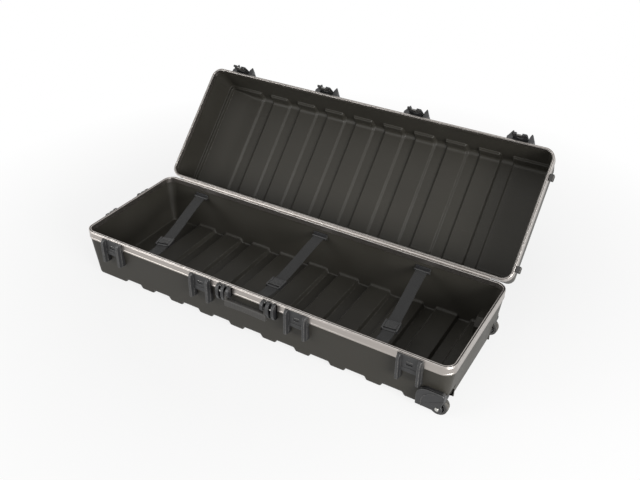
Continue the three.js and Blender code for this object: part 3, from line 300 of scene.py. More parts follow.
def finished(make):
    """The material that a function gives the shader's inputs for, made once and then found
    again by its name."""
    made = bpy.data.materials.get(make.__name__)
    if not made:
        made = bpy.data.materials.new(make.__name__)
        made.use_nodes = True
        tree = made.node_tree
        tree.nodes.clear()
        shader = node(tree, "BsdfPrincipled", make(tree, bpy.context.scene.case_look))
        node(tree, "OutputMaterial", {"Surface": shader})
    return made


# Shapes
class Form:
    """The points and faces of one piece, gathered patch by patch, with a length along
    and across for each face's corners where its pattern follows the surface."""

    def __init__(self):
        self.points, self.loops, self.counts, self.lengths = [], [], [], []
        self.total = 0

    def add(self, points):
        """Adds points in any array shape and returns their numbers in the same shape."""
        points = np.asarray(points, float)
        self.points.append(points.reshape(-1, 3))
        numbers = np.arange(points.size // 3).reshape(points.shape[:-1]) + self.total
        self.total += points.size // 3
        return numbers

    def faces(self, corners, lengths=None):
        """Adds faces with equally many corners each: an array of point numbers."""
        corners = np.asarray(corners).reshape(-1, np.shape(corners)[-1])
        self.loops.append(corners.ravel())
        self.counts.append(np.full(len(corners), corners.shape[1]))
        none = np.zeros((corners.size, 2))
        self.lengths.append(none if lengths is None else np.asarray(lengths).reshape(-1, 2))

    def patch(self, grid, wrap_rows=False, wrap_columns=False, lengths=None):
        """Adds a grid of points (rows, columns, 3). Each face joins the points (i, j),
        (i, j + 1), (i + 1, j + 1) and (i + 1, j), and the last row or column may join the
        first. Lengths has one row or column more than the points where they wrap."""
        numbers = self.add(grid)
        rows, columns = numbers.shape
        i = np.arange(rows - (not wrap_rows))[:, None, None] + np.array([0, 0, 1, 1])
        j = np.arange(columns - (not wrap_columns))[None, :, None] + np.array([0, 1, 1, 0])
        corners = numbers[i % rows, j % columns]
        self.faces(corners, None if lengths is None else np.asarray(lengths)[i, j])
        return numbers

    def skin(self, rings, place, lengths=None):
        """Adds a solid whose surface runs over closed rings of equally many points, with a
        flat face on the first and the last."""
        numbers = self.patch(moved(np.asarray(rings, float), place), False, True, lengths)
        self.faces(numbers[0][None])
        self.faces(numbers[-1][::-1][None])

    def slab(self, outline, low, high, edge, place, steps=3):
        """Adds a solid that fills a closed outline between two heights, with rounded edges.
        place sends across, up and height to the case."""
        self.skin(edged(np.asarray(outline, float), low, high, edge, steps), place)

    def framed(self, outer, inner, low, high, edge, place, steps=3):
        """Adds a solid between an outline and a hole with as many points, with rounded edges."""
        around = edged(outer, low, high, edge, steps)
        within = edged(inner, low, high, -edge, steps)[::-1]
        self.patch(moved(np.concatenate([around, within]), place), True, True)

    def turned(self, profile, place, steps=32, closed=False):
        """Adds a profile of (radius, height) points turned about the height axis: the point at
        angle a is (radius * cos a, radius * sin a, height). A closed profile makes a ring."""
        radius, height = np.asarray(profile, float).T[..., None]
        angle = np.linspace(0, 2 * np.pi, steps, endpoint=False)
        grid = np.stack(
            np.broadcast_arrays(radius * np.cos(angle), radius * np.sin(angle), height), -1
        )
        if closed:
            self.patch(moved(grid, place), True, True)
        else:
            self.skin(grid, place)


def edged(outline, low, high, edge, steps):
    """The rings of a slab with rounded edges: the ring at angle a of the quarter circle is
    drawn in by edge * (1 - sin a) and stands edge * (1 - cos a) from the slab's end. A
    negative edge draws the rings out instead, as at a hole."""
    turn = np.linspace(0, np.pi / 2, steps + 1)
    inset = np.concatenate([edge * (1 - np.sin(turn)), edge * (1 - np.sin(turn[::-1]))])
    rise = abs(edge) * (1 - np.cos(turn))
    height = np.concatenate([low + rise, high - rise[::-1]])
    flat = outline[None] + inset[:, None, None] * inward(outline)[None]
    return np.dstack([flat, np.broadcast_to(height[:, None], flat.shape[:2])])


def moved(points, place):
    """Points of any array shape, carried by a 4 by 4 matrix."""
    return points @ place[:3, :3].T + place[:3, 3]


def axes(across, up, along, origin=(0, 0, 0)):
    """The matrix that sends a flat shape's across, up and height to three directions."""
    place = np.eye(4)
    place[:3, :4] = np.column_stack([across, up, along, origin])
    return place


def about(place, across, up):
    """A place moved in its own plane, so that its height axis stands on a point."""
    return place @ axes((1, 0, 0), (0, 1, 0), (0, 0, 1), (across, up, 0))


def on_front(x=0.0):
    """The front face: across is outwards (-Y), up is +Z and height runs along X from x."""
    return axes((0, -1, 0), (0, 0, 1), (1, 0, 0), (x, -HALF_WIDTH, 0))


def flat_on_front(x=0.0, out=0.0):
    """The front face seen from outside: across is along X, up is +Z and height is outwards."""
    return axes((1, 0, 0), (0, 0, 1), (0, -1, 0), (x, -HALF_WIDTH - out, 0))


def from_front(y):
    """The case seen from the front: across is X, up is Z and height is inwards from y."""
    return axes((1, 0, 0), (0, 0, 1), (0, 1, 0), (0, y, 0))


def from_end(x=0.0, y=0.0, z=0.0):
    """The case seen from its right end: across is Y, up is Z and height runs along X from x."""
    return axes((0, 1, 0), (0, 0, 1), (1, 0, 0), (x, y, z))


def inward(outline):
    """For each point of a closed outline, the step that draws it in by one: the sum of the
    two sides' inward normals over one plus the cosine of the angle between them."""
    side = np.roll(outline, -1, 0) - outline
    side /= np.linalg.norm(side, axis=1, keepdims=True)
    x, y = outline.T
    area = (x * np.roll(y, -1) - y * np.roll(x, -1)).sum() / 2
    normal = np.stack([-side[:, 1], side[:, 0]], -1) * np.sign(area)
    before = np.roll(normal, 1, 0)
    return (normal + before) / (1 + (normal * before).sum(1, keepdims=True)).clip(0.3)


def rounded(corners, radius, steps=4):
    """A closed outline whose corners are arcs. An arc of radius r touches both sides at
    r / tan(h) from the corner, where h is half the angle between the sides, and its points
    are weighted sums of the two touching points about the centre."""
    p = np.asarray(corners, float)
    r = np.broadcast_to(np.asarray(radius, float), len(p))[:, None]
    back, on = np.roll(p, 1, 0) - p, np.roll(p, -1, 0) - p
    back_run, on_run = (np.linalg.norm(v, axis=1, keepdims=True) for v in (back, on))
    back, on = back / back_run, on / on_run
    half = np.arccos((back * on).sum(1, keepdims=True).clip(-1, 1)) / 2
    reach = np.minimum(r / np.tan(half), 0.49 * np.minimum(back_run, on_run))
    middle = back + on
    middle /= np.linalg.norm(middle, axis=1, keepdims=True)
    centre = p + middle * reach / np.cos(half)
    turn = np.pi - 2 * half
    t = np.linspace(0, 1, steps + 1)[None]
    first, last = (np.sin(s * turn) / np.sin(turn) for s in (1 - t, t))
    arc = centre[:, None] + first[..., None] * (p + back * reach - centre)[:, None]
    return (arc + last[..., None] * (p + on * reach - centre)[:, None]).reshape(-1, 2)


def rectangle(left, low, right, high, radius, steps=4):
    """A rectangle with rounded corners."""
    return rounded([[left, low], [right, low], [right, high], [left, high]], radius, steps)


def ring(outline, height):
    """A flat outline as a ring at a height."""
    return np.column_stack([outline, np.full(len(outline), height)])


def pin(radius, length, edge):
    """The profile of a pin with chamfered ends, as (radius, height) rows."""
    body = [[radius, edge], [radius, length - edge]]
    return [[radius - edge, 0], *body, [radius - edge, length]]


def sleeve(bore, radius, low, high, edge):
    """The profile of a sleeve with chamfered ends, as (radius, height) rows."""
    body = [[radius, low + edge], [radius, high - edge]]
    return [[bore, low], [radius - edge, low], *body, [radius - edge, high], [bore, high]]


def dome(radius, height, foot, steps):
    """The profile of a domed head: its height falls with the square of the radius."""
    r = np.linspace(1, 0.02, steps)
    return np.stack([radius * r, height * (1 - r**2) + foot], -1)


def bend(mesh):
    """How sharply the surface bends at each face, from 0 to 1: the mean angle to its
    neighbours, weighted by the length of the shared edges, from 18 to 26 degrees. Only
    faces narrower than 2.5 mm count, where width is twice the area over the perimeter."""

    def read(items, name, width, kind):
        values = np.empty(len(items) * width, kind)
        items.foreach_get(name, values)
        return values.reshape(-1, width) if width > 1 else values

    edge = read(mesh.loops, "edge_index", 1, np.int32)
    sides = read(mesh.polygons, "loop_total", 1, np.int32)
    normal = read(mesh.polygons, "normal", 3, np.float32)
    ends = read(mesh.vertices, "co", 3, np.float32)[read(mesh.edges, "vertices", 2, np.int32)]
    length = np.linalg.norm(ends[:, 0] - ends[:, 1], axis=1)
    face = np.repeat(np.arange(len(sides)), sides)
    order = np.argsort(edge, kind="stable")
    pair = np.flatnonzero(edge[order][1:] == edge[order][:-1])
    a, b, run = face[order][pair], face[order][pair + 1], length[edge[order][pair]]
    angle = np.degrees(np.arccos((normal[a] * normal[b]).sum(1).clip(-1, 1)))
    both, weight = np.concatenate([a, b]), np.concatenate([run, run])
    total = np.bincount(both, weight, len(sides)).clip(1e-9)
    mean = np.bincount(both, weight * np.concatenate([angle, angle]), len(sides)) / total
    width = 2 * read(mesh.polygons, "area", 1, np.float32) / total
    return ((mean - 18) / 8).clip(0, 1) * (width < 2.5 * MM)


def piece(name, draw, sizes, make, body, place=BASE_TO_ROW, replaces="", smooth=35.0):
    """Draws a form and makes it one object: its points carried to the row frame in metres,
    doubles merged, faces turned outwards and smoothed up to an angle between faces."""
    form = Form()
    draw(form, *sizes)
    points = moved(np.concatenate(form.points), place)
    loops, counts = np.concatenate(form.loops), np.concatenate(form.counts)
    mesh = bpy.data.meshes.new(name)
    mesh.vertices.add(len(points))
    mesh.vertices.foreach_set("co", points.astype(np.float32).ravel())
    mesh.loops.add(len(loops))
    mesh.loops.foreach_set("vertex_index", loops.astype(np.int32))
    mesh.polygons.add(len(counts))
    mesh.polygons.foreach_set("loop_start", (np.cumsum(counts) - counts).astype(np.int32))
    layer = mesh.uv_layers.new(name="along")
    mesh.update(calc_edges=True)
    layer.data.foreach_set("uv", (np.concatenate(form.lengths) * MM).astype(np.float32).ravel())
    shape = bmesh.new()
    shape.from_mesh(mesh)
    bmesh.ops.remove_doubles(shape, verts=shape.verts, dist=1e-6)
    bmesh.ops.recalc_face_normals(shape, faces=shape.faces)
    shape.to_mesh(mesh)
    shape.free()
    wear = mesh.attributes.new("bend", "FLOAT", "FACE")
    wear.data.foreach_set("value", bend(mesh).astype(np.float32))
    mesh.shade_smooth()
    mesh.set_sharp_from_angle(angle=np.radians(smooth))
    mesh.materials.append(finished(make))
    made = bpy.data.objects.new(name, mesh)
    bpy.context.scene.collection.objects.link(made)
    even = made.modifiers.new("even shading", "WEIGHTED_NORMAL")
    even.keep_sharp = True
    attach(made, body)
    if replaces:
        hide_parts(replaces)


# Shells and rims
@dataclass(frozen=True)
class ShellKind:
    """What sets one shell apart, in millimetres: its depth, how far its ribs stand out, its
    wall, the middle of each rib, the round at a rib's end, the depth of the ledge in its
    walls (0 for none), the inset at which its panel is flat, whether the first rib runs on
    to the end, and how far the panel rises along a ramp at its left end."""

    depth: float
    height: float
    wall: float
    middles: np.ndarray
    end_round: float
    ledge: float
    brink: float
    to_end: bool
    ramp: float


BASE_RIBS, LID_RIBS = (RIB_PITCH * (np.arange(n) - (n - 1) / 2) for n in (10, 9))
BASE_KIND = ShellKind(BASE_DEPTH, FOOT_HEIGHT, BASE_WALL, BASE_RIBS, 10.0, 0.0, 38.0, True, 0.0)
LID_KIND = ShellKind(
    LID_DEPTH, LID_RIB_HEIGHT, LID_WALL, LID_RIBS, 39.0, LEDGE_DEPTH, 54.0, False, RAMP_RISE
)
CORNER_STEPS = 10


def wall_inset(depth):
    """How far the drafted wall lies inside the rim's face at a depth below the rim."""
    return SHELL_INSET + np.maximum(depth - RIM_FACE, 0) * LEAN


def rib_share(kind, x, offset):
    """How much of a rib stands at x, from 0 to 1: the mean, over 3 mm, of the clipped
    distance from the rib's foot divided by its flank's run."""
    x = np.asarray(x, float)
    away = np.abs(x[..., None] - kind.middles).min(-1)
    away = np.where(kind.to_end & (x < kind.middles[0]), 0, away)
    foot = RIB_WIDTH / 2 - offset + RIB_FLANK
    soft = np.linspace(-1.5, 1.5, 7)
    return ((foot - away[..., None] + soft) / RIB_FLANK).clip(0, 1).mean(-1)


def bent(corners, radii, steps):
    """An open path whose corners are arcs, taken from a closed outline with bare ends."""
    return rounded(corners, [0.0, *radii, 0.0], steps)[steps:-steps]


def shell_sections(kind, offset):
    """Two profiles of (inset, depth) rows, from the shell's edge down to the panel: the plain
    wall with its ledge and fillet, and the wall where a rib stands, which runs on with the
    same draft and turns under the rib. A row lies at the same share of both runs below the
    top of the wheel wells, and at the same depth above it."""

    def wall(depth):
        return wall_inset(depth) + offset

    panel, reach = kind.depth - offset, kind.depth + kind.height - offset
    plain, step, radii = [[wall(WELL_DEPTH), WELL_DEPTH]], 0.0, [EDGE_FILLET - offset]
    if kind.ledge:
        ledge, step, radii = kind.ledge - offset, LEDGE_STEP, [3.0, 3.0, *radii]
        plain += [[wall(ledge), ledge], [wall(ledge) + step, ledge]]
    plain = bent([*plain, [wall(panel) + step, panel], [kind.brink, panel]], radii, 5)
    ribbed = [plain[0], [wall(reach), reach], [kind.brink, reach]]
    ribbed = bent(ribbed, [kind.end_round - offset], 24)
    upper = np.array([SHELL_TOP, 18, RIM_FACE, 50, 70, 90])
    upper = np.stack([wall(upper), upper], -1)
    runs = [np.linalg.norm(np.diff(p, axis=0), axis=1) for p in (plain, ribbed)]
    runs = [np.insert(np.cumsum(run), 0, 0) for run in runs]
    shares = np.concatenate([runs[0] / runs[0][-1], np.linspace(0, 1, 17)])
    shares = np.unique(shares.round(6))
    return [
        np.concatenate(
            [upper, np.stack([np.interp(shares, run / run[-1], row) for row in path.T], -1)]
        )
        for run, path in zip(runs, (plain, ribbed))
    ]


def stations(kind):
    """The places along X and Y where a shell has points: close together on the ribs' flanks,
    along the ramp's foot and on the edges of the wheel wells."""
    near = [0, 9, 15, 17, 18.5, 20, 21.5, 23, 24.5, 26, 27.5, 29, 30.5, 34, 46]
    along = np.concatenate([(kind.middles[:, None] + s * np.array(near)).ravel() for s in (-1, 1)])
    foot = RAMP_LENGTH - HALF_LENGTH + np.array([-30, -18, -10, -6, -3, 0, 3, 6, 10, 18])
    ends = HALF_LENGTH - WELL_LENGTH
    along = np.concatenate([along, foot if kind.ramp else [], [-ends, ends]])
    edge = HALF_WIDTH - WELL_WIDTH
    across = np.array([-153, -edge, -120, -80, -40, 0, 40, 80, 120, edge, 153])
    return np.unique(along.clip(-ends, ends)), across


def ramped(kind, offset, x, depth):
    """Depths limited by the ramp: the smaller of the depth and the ramp's depth at x, less
    a quarter of the square of how far the two lie within 8 mm of each other, over 8 mm."""
    ramp = kind.depth - offset - kind.ramp * (RAMP_LENGTH - HALF_LENGTH - x) / RAMP_LENGTH
    near = (8 - np.abs(depth - ramp)).clip(0)
    return np.minimum(depth, ramp) - near**2 / 32 if kind.ramp else depth


def shell_surface(form, kind, offset, flip):
    """Adds one side of a shell to a form and returns its points' numbers, in two grids.
    The walls: each column runs down the section mixed from the two by the share of a rib
    there, at a place along one side or at an angle round a corner, whose radius is 36 less
    the inset but 6 at least. The panel: a grid of x and y at the depth plus the rib's share."""
    plain, ribbed = shell_sections(kind, offset)
    along, across = stations(kind)
    quarter = np.linspace(0, np.pi / 2, CORNER_STEPS + 1)
    share, end = rib_share(kind, along, offset), float(kind.to_end)
    free = np.nan
    # Side or corner in x and y, its angle, the place along X or Y on a side, and the rib's share
    table = [
        (0, -1, -np.pi / 2, along, free, share),
        (1, -1, quarter - np.pi / 2, free, free, 0),
        (1, 0, 0, free, across, 0),
        (1, 1, quarter, free, free, 0),
        (0, 1, np.pi / 2, along[::-1], free, share[::-1]),
        (-1, 1, quarter + np.pi / 2, free, free, end),
        (-1, 0, np.pi, free, across[::-1], end),
        (-1, -1, quarter + np.pi, free, free, end),
    ]
    columns = np.concatenate([np.stack(np.broadcast_arrays(*row), -1) for row in table])
    side_x, side_y, angle, fixed_x, fixed_y, rib = columns.T
    inset, depth = (plain[:, k : k + 1] + rib * (ribbed - plain)[:, k : k + 1] for k in (0, 1))
    radius = np.maximum(CASE_CORNER - inset, PANEL_CORNER)
    x = side_x * (HALF_LENGTH - inset - radius) + radius * np.cos(angle)
    y = side_y * (HALF_WIDTH - inset - radius) + radius * np.sin(angle)
    x = np.where(np.isnan(fixed_x), x, fixed_x)
    y = np.where(np.isnan(fixed_y), y, fixed_y)
    walls = np.stack([x, y, -flip * ramped(kind, offset, x, depth)], -1)
    cx, cy = (half - kind.brink - PANEL_CORNER for half in (HALF_LENGTH, HALF_WIDTH))
    x, y = np.concatenate([[-cx], along, [cx]]), np.concatenate([[-cy], across, [cy]])
    floor = plain[-1, 1] + rib_share(kind, x, offset) * (ribbed[-1, 1] - plain[-1, 1])
    floor = np.broadcast_to(-flip * ramped(kind, offset, x, floor), (len(y), len(x)))
    return form.add(walls), form.add(np.stack([*np.meshgrid(x, y), floor], -1))


def shell_faces(walls, panel, along, across):
    """The faces of one side of a shell: quads over the walls, which close round the case, and
    over the panel, a strip between each side's last row and the panel, and a fan at each
    corner about its middle."""
    columns = walls.shape[1]
    on = np.roll(walls, -1, 1)
    quads = [
        np.stack([walls[:-1], on[:-1], on[1:], walls[1:]], -1).reshape(-1, 4),
        np.stack([panel[:-1, :-1], panel[:-1, 1:], panel[1:, 1:], panel[1:, :-1]], -1).reshape(-1, 4),
    ]
    last, turn, start, fans = walls[-1], CORNER_STEPS + 1, 0, []
    edges = [panel[0], panel[:, -1], panel[-1, ::-1], panel[::-1, 0]]
    for edge, count in zip(edges, [along, across, along, across]):
        beside = last[np.arange(start - 1, start + count + 1) % columns]
        quads.append(np.stack([beside[:-1], beside[1:], edge[1:], edge[:-1]], -1))
        start += count
        arc = last[start : start + turn]
        fans.append(np.stack([arc[:-1], arc[1:], np.full(turn - 1, edge[-1])], -1))
        start += turn
    return np.concatenate(quads), np.concatenate(fans)


def shell(form, kind, flip=1.0, wells=False):
    """A shell of even thickness: an outer and an inner side with the same grid, joined by
    a strip wherever a side ends, at the rim and round the wheel wells."""
    along, across = (len(values) for values in stations(kind))
    outer = shell_surface(form, kind, 0.0, flip)
    inner = shell_surface(form, kind, kind.wall, flip)
    step = inner[0][0, 0] - outer[0][0, 0]
    points = np.concatenate(form.points)
    kept = []
    for faces in shell_faces(*outer, along, across):
        if wells:
            x, y, z = points[faces].mean(1).T
            cut = (x > HALF_LENGTH - WELL_LENGTH) & (np.abs(y) > HALF_WIDTH - WELL_WIDTH)
            faces = faces[~(cut & (z < -WELL_DEPTH))]
        kept.append(faces)
        form.faces(faces)
        form.faces(faces[:, ::-1] + step)
    edges = np.concatenate([np.stack([f, np.roll(f, -1, 1)], -1).reshape(-1, 2) for f in kept])
    key = np.sort(edges, 1) @ np.array([len(points), 1])
    _, first, count = np.unique(key, return_index=True, return_counts=True)
    open_edges = edges[first[count == 1]]
    form.faces(np.concatenate([open_edges[:, ::-1], open_edges + step], 1))
    if wells:
        for side in (-1, 1):
            well_liner(form, side)


def well_liner(form, side):
    """Adds the recess behind a wheel: a roof, a sloped corner and an inner wall carried
    along X, and a plate that closes it."""
    edge, top, slope, lap = HALF_WIDTH - WELL_WIDTH, -WELL_DEPTH, WELL_HEIGHT / 3, 2.0
    bottom, over, wall = lap - BASE_DEPTH, top + BASE_WALL, edge - BASE_WALL
    reach = wall_inset(WELL_DEPTH) + BASE_WALL / 2
    far, left, right = HALF_WIDTH - reach, HALF_LENGTH - WELL_LENGTH, HALF_LENGTH - reach
    inner = [[edge, bottom], [edge, top - slope], [edge + slope, top], [far, top]]
    outer = [[far, over], [edge + slope - lap, over], [wall, top - slope + lap], [wall, bottom]]
    place = axes((0, side, 0), (0, 0, 1), (1, 0, 0))
    section = rounded(inner + outer, [0.3, 3, 3, 0.3, 0.3, 6, 6, 0.3])
    form.slab(section, left, right, 0.2, place, steps=1)
    plate = rounded([*outer[::-1], [far - 9, bottom]], 0.3, 2)
    form.slab(plate, left - BASE_WALL, left, 0.2, place, steps=1)


def carried(form, section, flip):
    """Adds a closed section carried round the case: each point keeps its inset from the
    rim's face and its depth below the rim, and the corner radius shrinks by the inset. The
    pattern's lengths are the run round the case and the run round the section."""
    inset, depth = section[:, :1], section[:, 1:]
    radius = np.maximum(CASE_CORNER - inset, PANEL_CORNER)
    cx, cy = HALF_LENGTH - inset - radius, HALF_WIDTH - inset - radius
    angle = np.linspace(0, np.pi / 2, 17)[None]
    quarters = []
    for sx, sy, first in [(1, -1, -0.5), (1, 1, 0), (-1, 1, 0.5), (-1, -1, 1)]:
        a = first * np.pi + angle
        quarters.append(np.stack([sx * cx + radius * np.cos(a), sy * cy + radius * np.sin(a)], -1))
    flat = np.concatenate(quarters, 1)
    grid = np.dstack([flat, np.broadcast_to(-flip * depth, flat.shape[:2])])
    run = np.linalg.norm(np.diff(grid[:1], axis=1, append=grid[:1, :1]), axis=-1)[0]
    around = np.linalg.norm(np.diff(section, axis=0, append=section[:1]), axis=-1)
    u, v = (np.insert(np.cumsum(steps), 0, 0) for steps in (run, around))
    form.patch(grid, True, True, np.stack(np.meshgrid(u, v), -1))


def rim(form, wall, crown, flip=1.0):
    """A rim: a drawn channel over the shell's edge, with two fine beads along its face and
    a groove or a tongue on its crown."""
    inner = 2 * SHELL_INSET + wall
    bead = np.array([[0, 0], [-0.5, -0.8], [-0.5, -2.2], [0, -3]])
    beads = [*(bead + [0, RIM_FACE - 3]), *(bead + [0, 7])]
    corners = [[0, RIM_FACE], *beads, [0, 0], *([CROWN_LINE + a, d] for a, d in crown), [inner, 0]]
    corners += [[inner, RIM_INNER_FACE], [inner - RIM_METAL, RIM_INNER_FACE]]
    corners += [[inner - RIM_METAL, RIM_CROWN], [RIM_METAL, RIM_CROWN], [RIM_METAL, RIM_FACE]]
    radii = [0.6, *[0.3] * 8, 1.5, *[0.3] * 4, 1.0, 0.6, 0.6, 0.3, 0.3, 0.6]
    carried(form, rounded(corners, radii, 4), flip)


def seal_and_painted_shade(form, strips, flip=1.0):
    """A rubber seal: strips carried round a rim's crown, each from one inset to another and
    from one depth to another. They are black so that they also stand for the shade in the
    groove and in the gaps beside the tongue: partly a seal, partly painted shade."""
    for near, far, high, low in strips:
        strip = [[near, low], [near, high], [far, high], [far, low]]
        carried(form, rounded(strip, 0.1, 2), flip)


# Fittings on the rims, drawn at the front and carried to where they belong
SEAT_STEP = RIM_FACE + SEAT
BACK_ROUNDS = [0.3] * 4
LATCH_X = (-529.0, -172.0, 172.0, 529.0)
GUARD_MIDDLE = 31.0
GUARD_FLANK = [[2, 1], [3.6, 0.98], [4.6, 0.88], [5.2, 0.62], [6.2, 0.34], [7.6, 0.22]]
HORN_CREST = [
    [0, 0.74], [0.03, 0.8], [0.12, 0.93], [0.22, 1], [0.3, 0.99],
    [0.44, 0.9], [0.62, 0.72], [0.82, 0.5], [0.97, 0.37], [1, 0.33],
]
LEVER_OUT, LEVER_UP, LEVER_HALF = 10.0, 18.0, 24.0
LEVER_BACK, LEVER_FRONT, LEVER_LIP, LEVER_TIP, LEVER_WINDOW = 7.1, 11.1, 15.1, -34.0, 8.8
LATCH_PIN_LENGTH, LATCH_PIN_RADIUS, RIVET_UP, RIVET_ACROSS = 72.0, 2.1, 43.0, 15.5
CLAW_OUT, CLAW_UP, CLAW_HALF, CLAW_PIN_LENGTH, CLAW_PIN_RADIUS = 9.7, -7.0, 8.0, 21.6, 1.1
HANDLE_OUT, HANDLE_DOWN, BRACKET_MIDDLE, LOBE_STEP = 11.0, 24.0, 80.0, 19.0
HANDLE_PIN_LENGTH, HANDLE_PIN_RADIUS = 46.0, 2.6
GRIP_HALF, GRIP_THICK, GRIP_TALL, GRIP_ROUND = 74.0, 7.5, 13.0, 3.0


def seat(start, end):
    """The back of a piece that lies on the rim's face and on the wall below it, as
    (out, up) rows from its lower end to its upper end."""
    wall = [[SEAT - wall_inset(d), -d] for d in (end, SEAT_STEP)]
    return [*wall, [SEAT, -SEAT_STEP], [SEAT, -start]]


def backing(form, x, left, right, end):
    """The fill behind a plate, between the rim's lower edge and the plate's end."""
    outline = [*seat(SEAT_STEP, end)[:2], [1.2, -SEAT_STEP], [1.2, -end]]
    form.slab(rounded(outline, 0.2, 1), left, right, 0.2, on_front(x), 1)


def rivet(form, x, up, out, radius):
    """A domed rivet head on the front face."""
    head = [[radius, -0.4], *dome(radius, 0.42 * radius, 0.35, 7)]
    form.turned(head, about(flat_on_front(x, out), 0, up), 20)


def keeper(form, x):
    """The keeper: a plate framed round its slot, a fill below the rim's edge, slanted
    cheeks that run out onto the rim, and two blunt guard ribs. A rib is one outline in out
    and up, whose depth is scaled by a share at each place across it."""
    face, half = flat_on_front(x), 27
    slot = rectangle(-10, -36.5, 10, -23.5, 2.5)
    form.framed(rectangle(-half, -61, half, -5, 2.5), slot, SEAT, 4.7, 0.9, face)
    backing(form, x, -half, half, 60)
    cheeks = [[-42, -36], [-42, -29], [-37, -9], [37, -9], [42, -29], [42, -36]]
    form.slab(rounded(cheeks, 2.5), SEAT, 2.4, 0.9, face)
    form.slab(rectangle(-26, -59, 26, -47, 2), 4.5, 6.0, 0.8, face)
    front = np.array([[0.5, 0], [0.86, 0.06], [1, 0.16], [1, 0.95], [0.84, 1]])
    front = front * [18, -85] - [0, 5]
    across, shares = np.array([*([-a, s] for a, s in GUARD_FLANK[::-1]), *GUARD_FLANK]).T
    for side in (-GUARD_MIDDLE, GUARD_MIDDLE):
        rings = []
        for at, share in zip(side + across, shares):
            outline = [*seat(5, 90), *(front * [share, 1])]
            rings.append(ring(rounded(outline, [*BACK_ROUNDS, 1.5, 3, 6, 3, 2], 3), at))
        form.skin(rings, on_front(x))


def strike(form, x):
    """The bent steel edge in a keeper's slot that the claw catches under."""
    edge = rounded([[0.5, -27.6], [3.6, -27.6], [4.0, -25.2], [0.5, -24.4]], 0.5)
    form.slab(edge, -9.6, 9.6, 0.4, on_front(x))


def latch_plate(form, x):
    """The latch's plate with a raised middle, between two horns. A horn is one outline in
    out and up, whose depth is scaled by a share that rises to 1 near the lever and falls
    along its outer flank, so that it comes to a ridge."""
    back, out, up = np.array(seat(5, 49)) * [1, -1], 32, 50
    plate = rounded([*back, [3.6, 5], [3.6, 49]], [*BACK_ROUNDS, 1, 1], 3)
    form.slab(plate, -31, 31, 1.0, on_front(x))
    form.slab(rectangle(-20, 26, 20, 38, 3), 3.4, 4.8, 0.8, flat_on_front(x))
    back = np.array(seat(1.2, 1.2 + up)) * [1, -1]
    front = np.array([[0.7, 0], [1, 0.12], [0.78, 0.5], [0.2, 1]])
    for side in (-1, 1):
        rings = []
        for across, share in HORN_CREST:
            outline = [*back, *(front * [out * share, up] + [0, 1.2])]
            outline = rounded(outline, [*BACK_ROUNDS, 1, 1.2, 6, 2], 3)
            rings.append(ring(outline, side * (26 + across * 18)))
        form.skin(rings, on_front(x))


def lever(form, x):
    """The lever: a plate forked round the claw, folded skirts along both sides, a lip at
    the tip, a rolled barrel on the pin and the claw's small pin."""
    back, front, lip, tip = LEVER_BACK, LEVER_FRONT, LEVER_LIP, LEVER_TIP
    half, window, top = LEVER_HALF, LEVER_WINDOW, LEVER_UP
    fork = [[-half, top], [-half, tip], [-window, tip], [-window, -1], [window, -1], [window, tip]]
    fork = rounded([*fork, [half, tip], [half, top]], [0.5, 2, 1, 3, 3, 1, 2, 0.5])
    form.slab(fork, back, front, 0.9, flat_on_front(x))
    form.slab(rectangle(-17, 2.5, 17, 10.5, 2), front - 0.2, front + 1.1, 0.6, flat_on_front(x))
    skirt = [[back, top], [back, tip], [front, tip], [lip, tip + 5], [lip, 13.4], [front, top]]
    lips = [[back, tip], [lip, tip], [12.0, tip + 4.4], [back, tip + 4.4]]
    skirt, lips = rounded(skirt, [1, 1, 1.2, 3, 4, 2]), rounded(lips, [1, 1.6, 1.2, 0.5])
    for side in (-1, 1):
        form.slab(skirt, *np.sort([side * 19.0, side * half]), 1.1, on_front(x))
        form.slab(lips, *np.sort([side * window, side * half]), 1.0, on_front(x))
    barrel = sleeve(2.5, 4.6, 0, 2 * half, 0.4)
    form.turned(barrel, about(on_front(x - half), LEVER_OUT, LEVER_UP), 28, True)
    place = about(on_front(x - CLAW_PIN_LENGTH / 2), CLAW_OUT, CLAW_UP)
    form.turned([[CLAW_PIN_RADIUS, 0], [CLAW_PIN_RADIUS, CLAW_PIN_LENGTH]], place, 16)


def claw(form, x):
    """The claw: a strip bent to a tooth at its tip, with its barrel on the small pin."""
    strip = [[7.1, -7], [7.1, -26], [5.5, -29], [5.5, -32], [10.3, -32], [10.3, -7]]
    strip = rounded(strip, [0.3, 1.5, 0.6, 0.6, 2, 0.3])
    form.slab(strip, -CLAW_HALF, CLAW_HALF, 0.5, on_front(x))
    barrel = sleeve(1.5, 2.6, 0, 2 * CLAW_HALF, 0.3)
    form.turned(barrel, about(on_front(x - CLAW_HALF), CLAW_OUT, CLAW_UP), 20, True)


def rod(form, x, length, out, up, radius, edge):
    """A round pin along X about its middle, with chamfered ends."""
    form.turned(pin(radius, length, edge), about(on_front(x - length / 2), out, up), 20)


def latch_rivets(form, x):
    """The two rivets that hold a latch's plate."""
    for side in (-1, 1):
        rivet(form, x + side * RIVET_ACROSS, RIVET_UP, 3.6, 3)


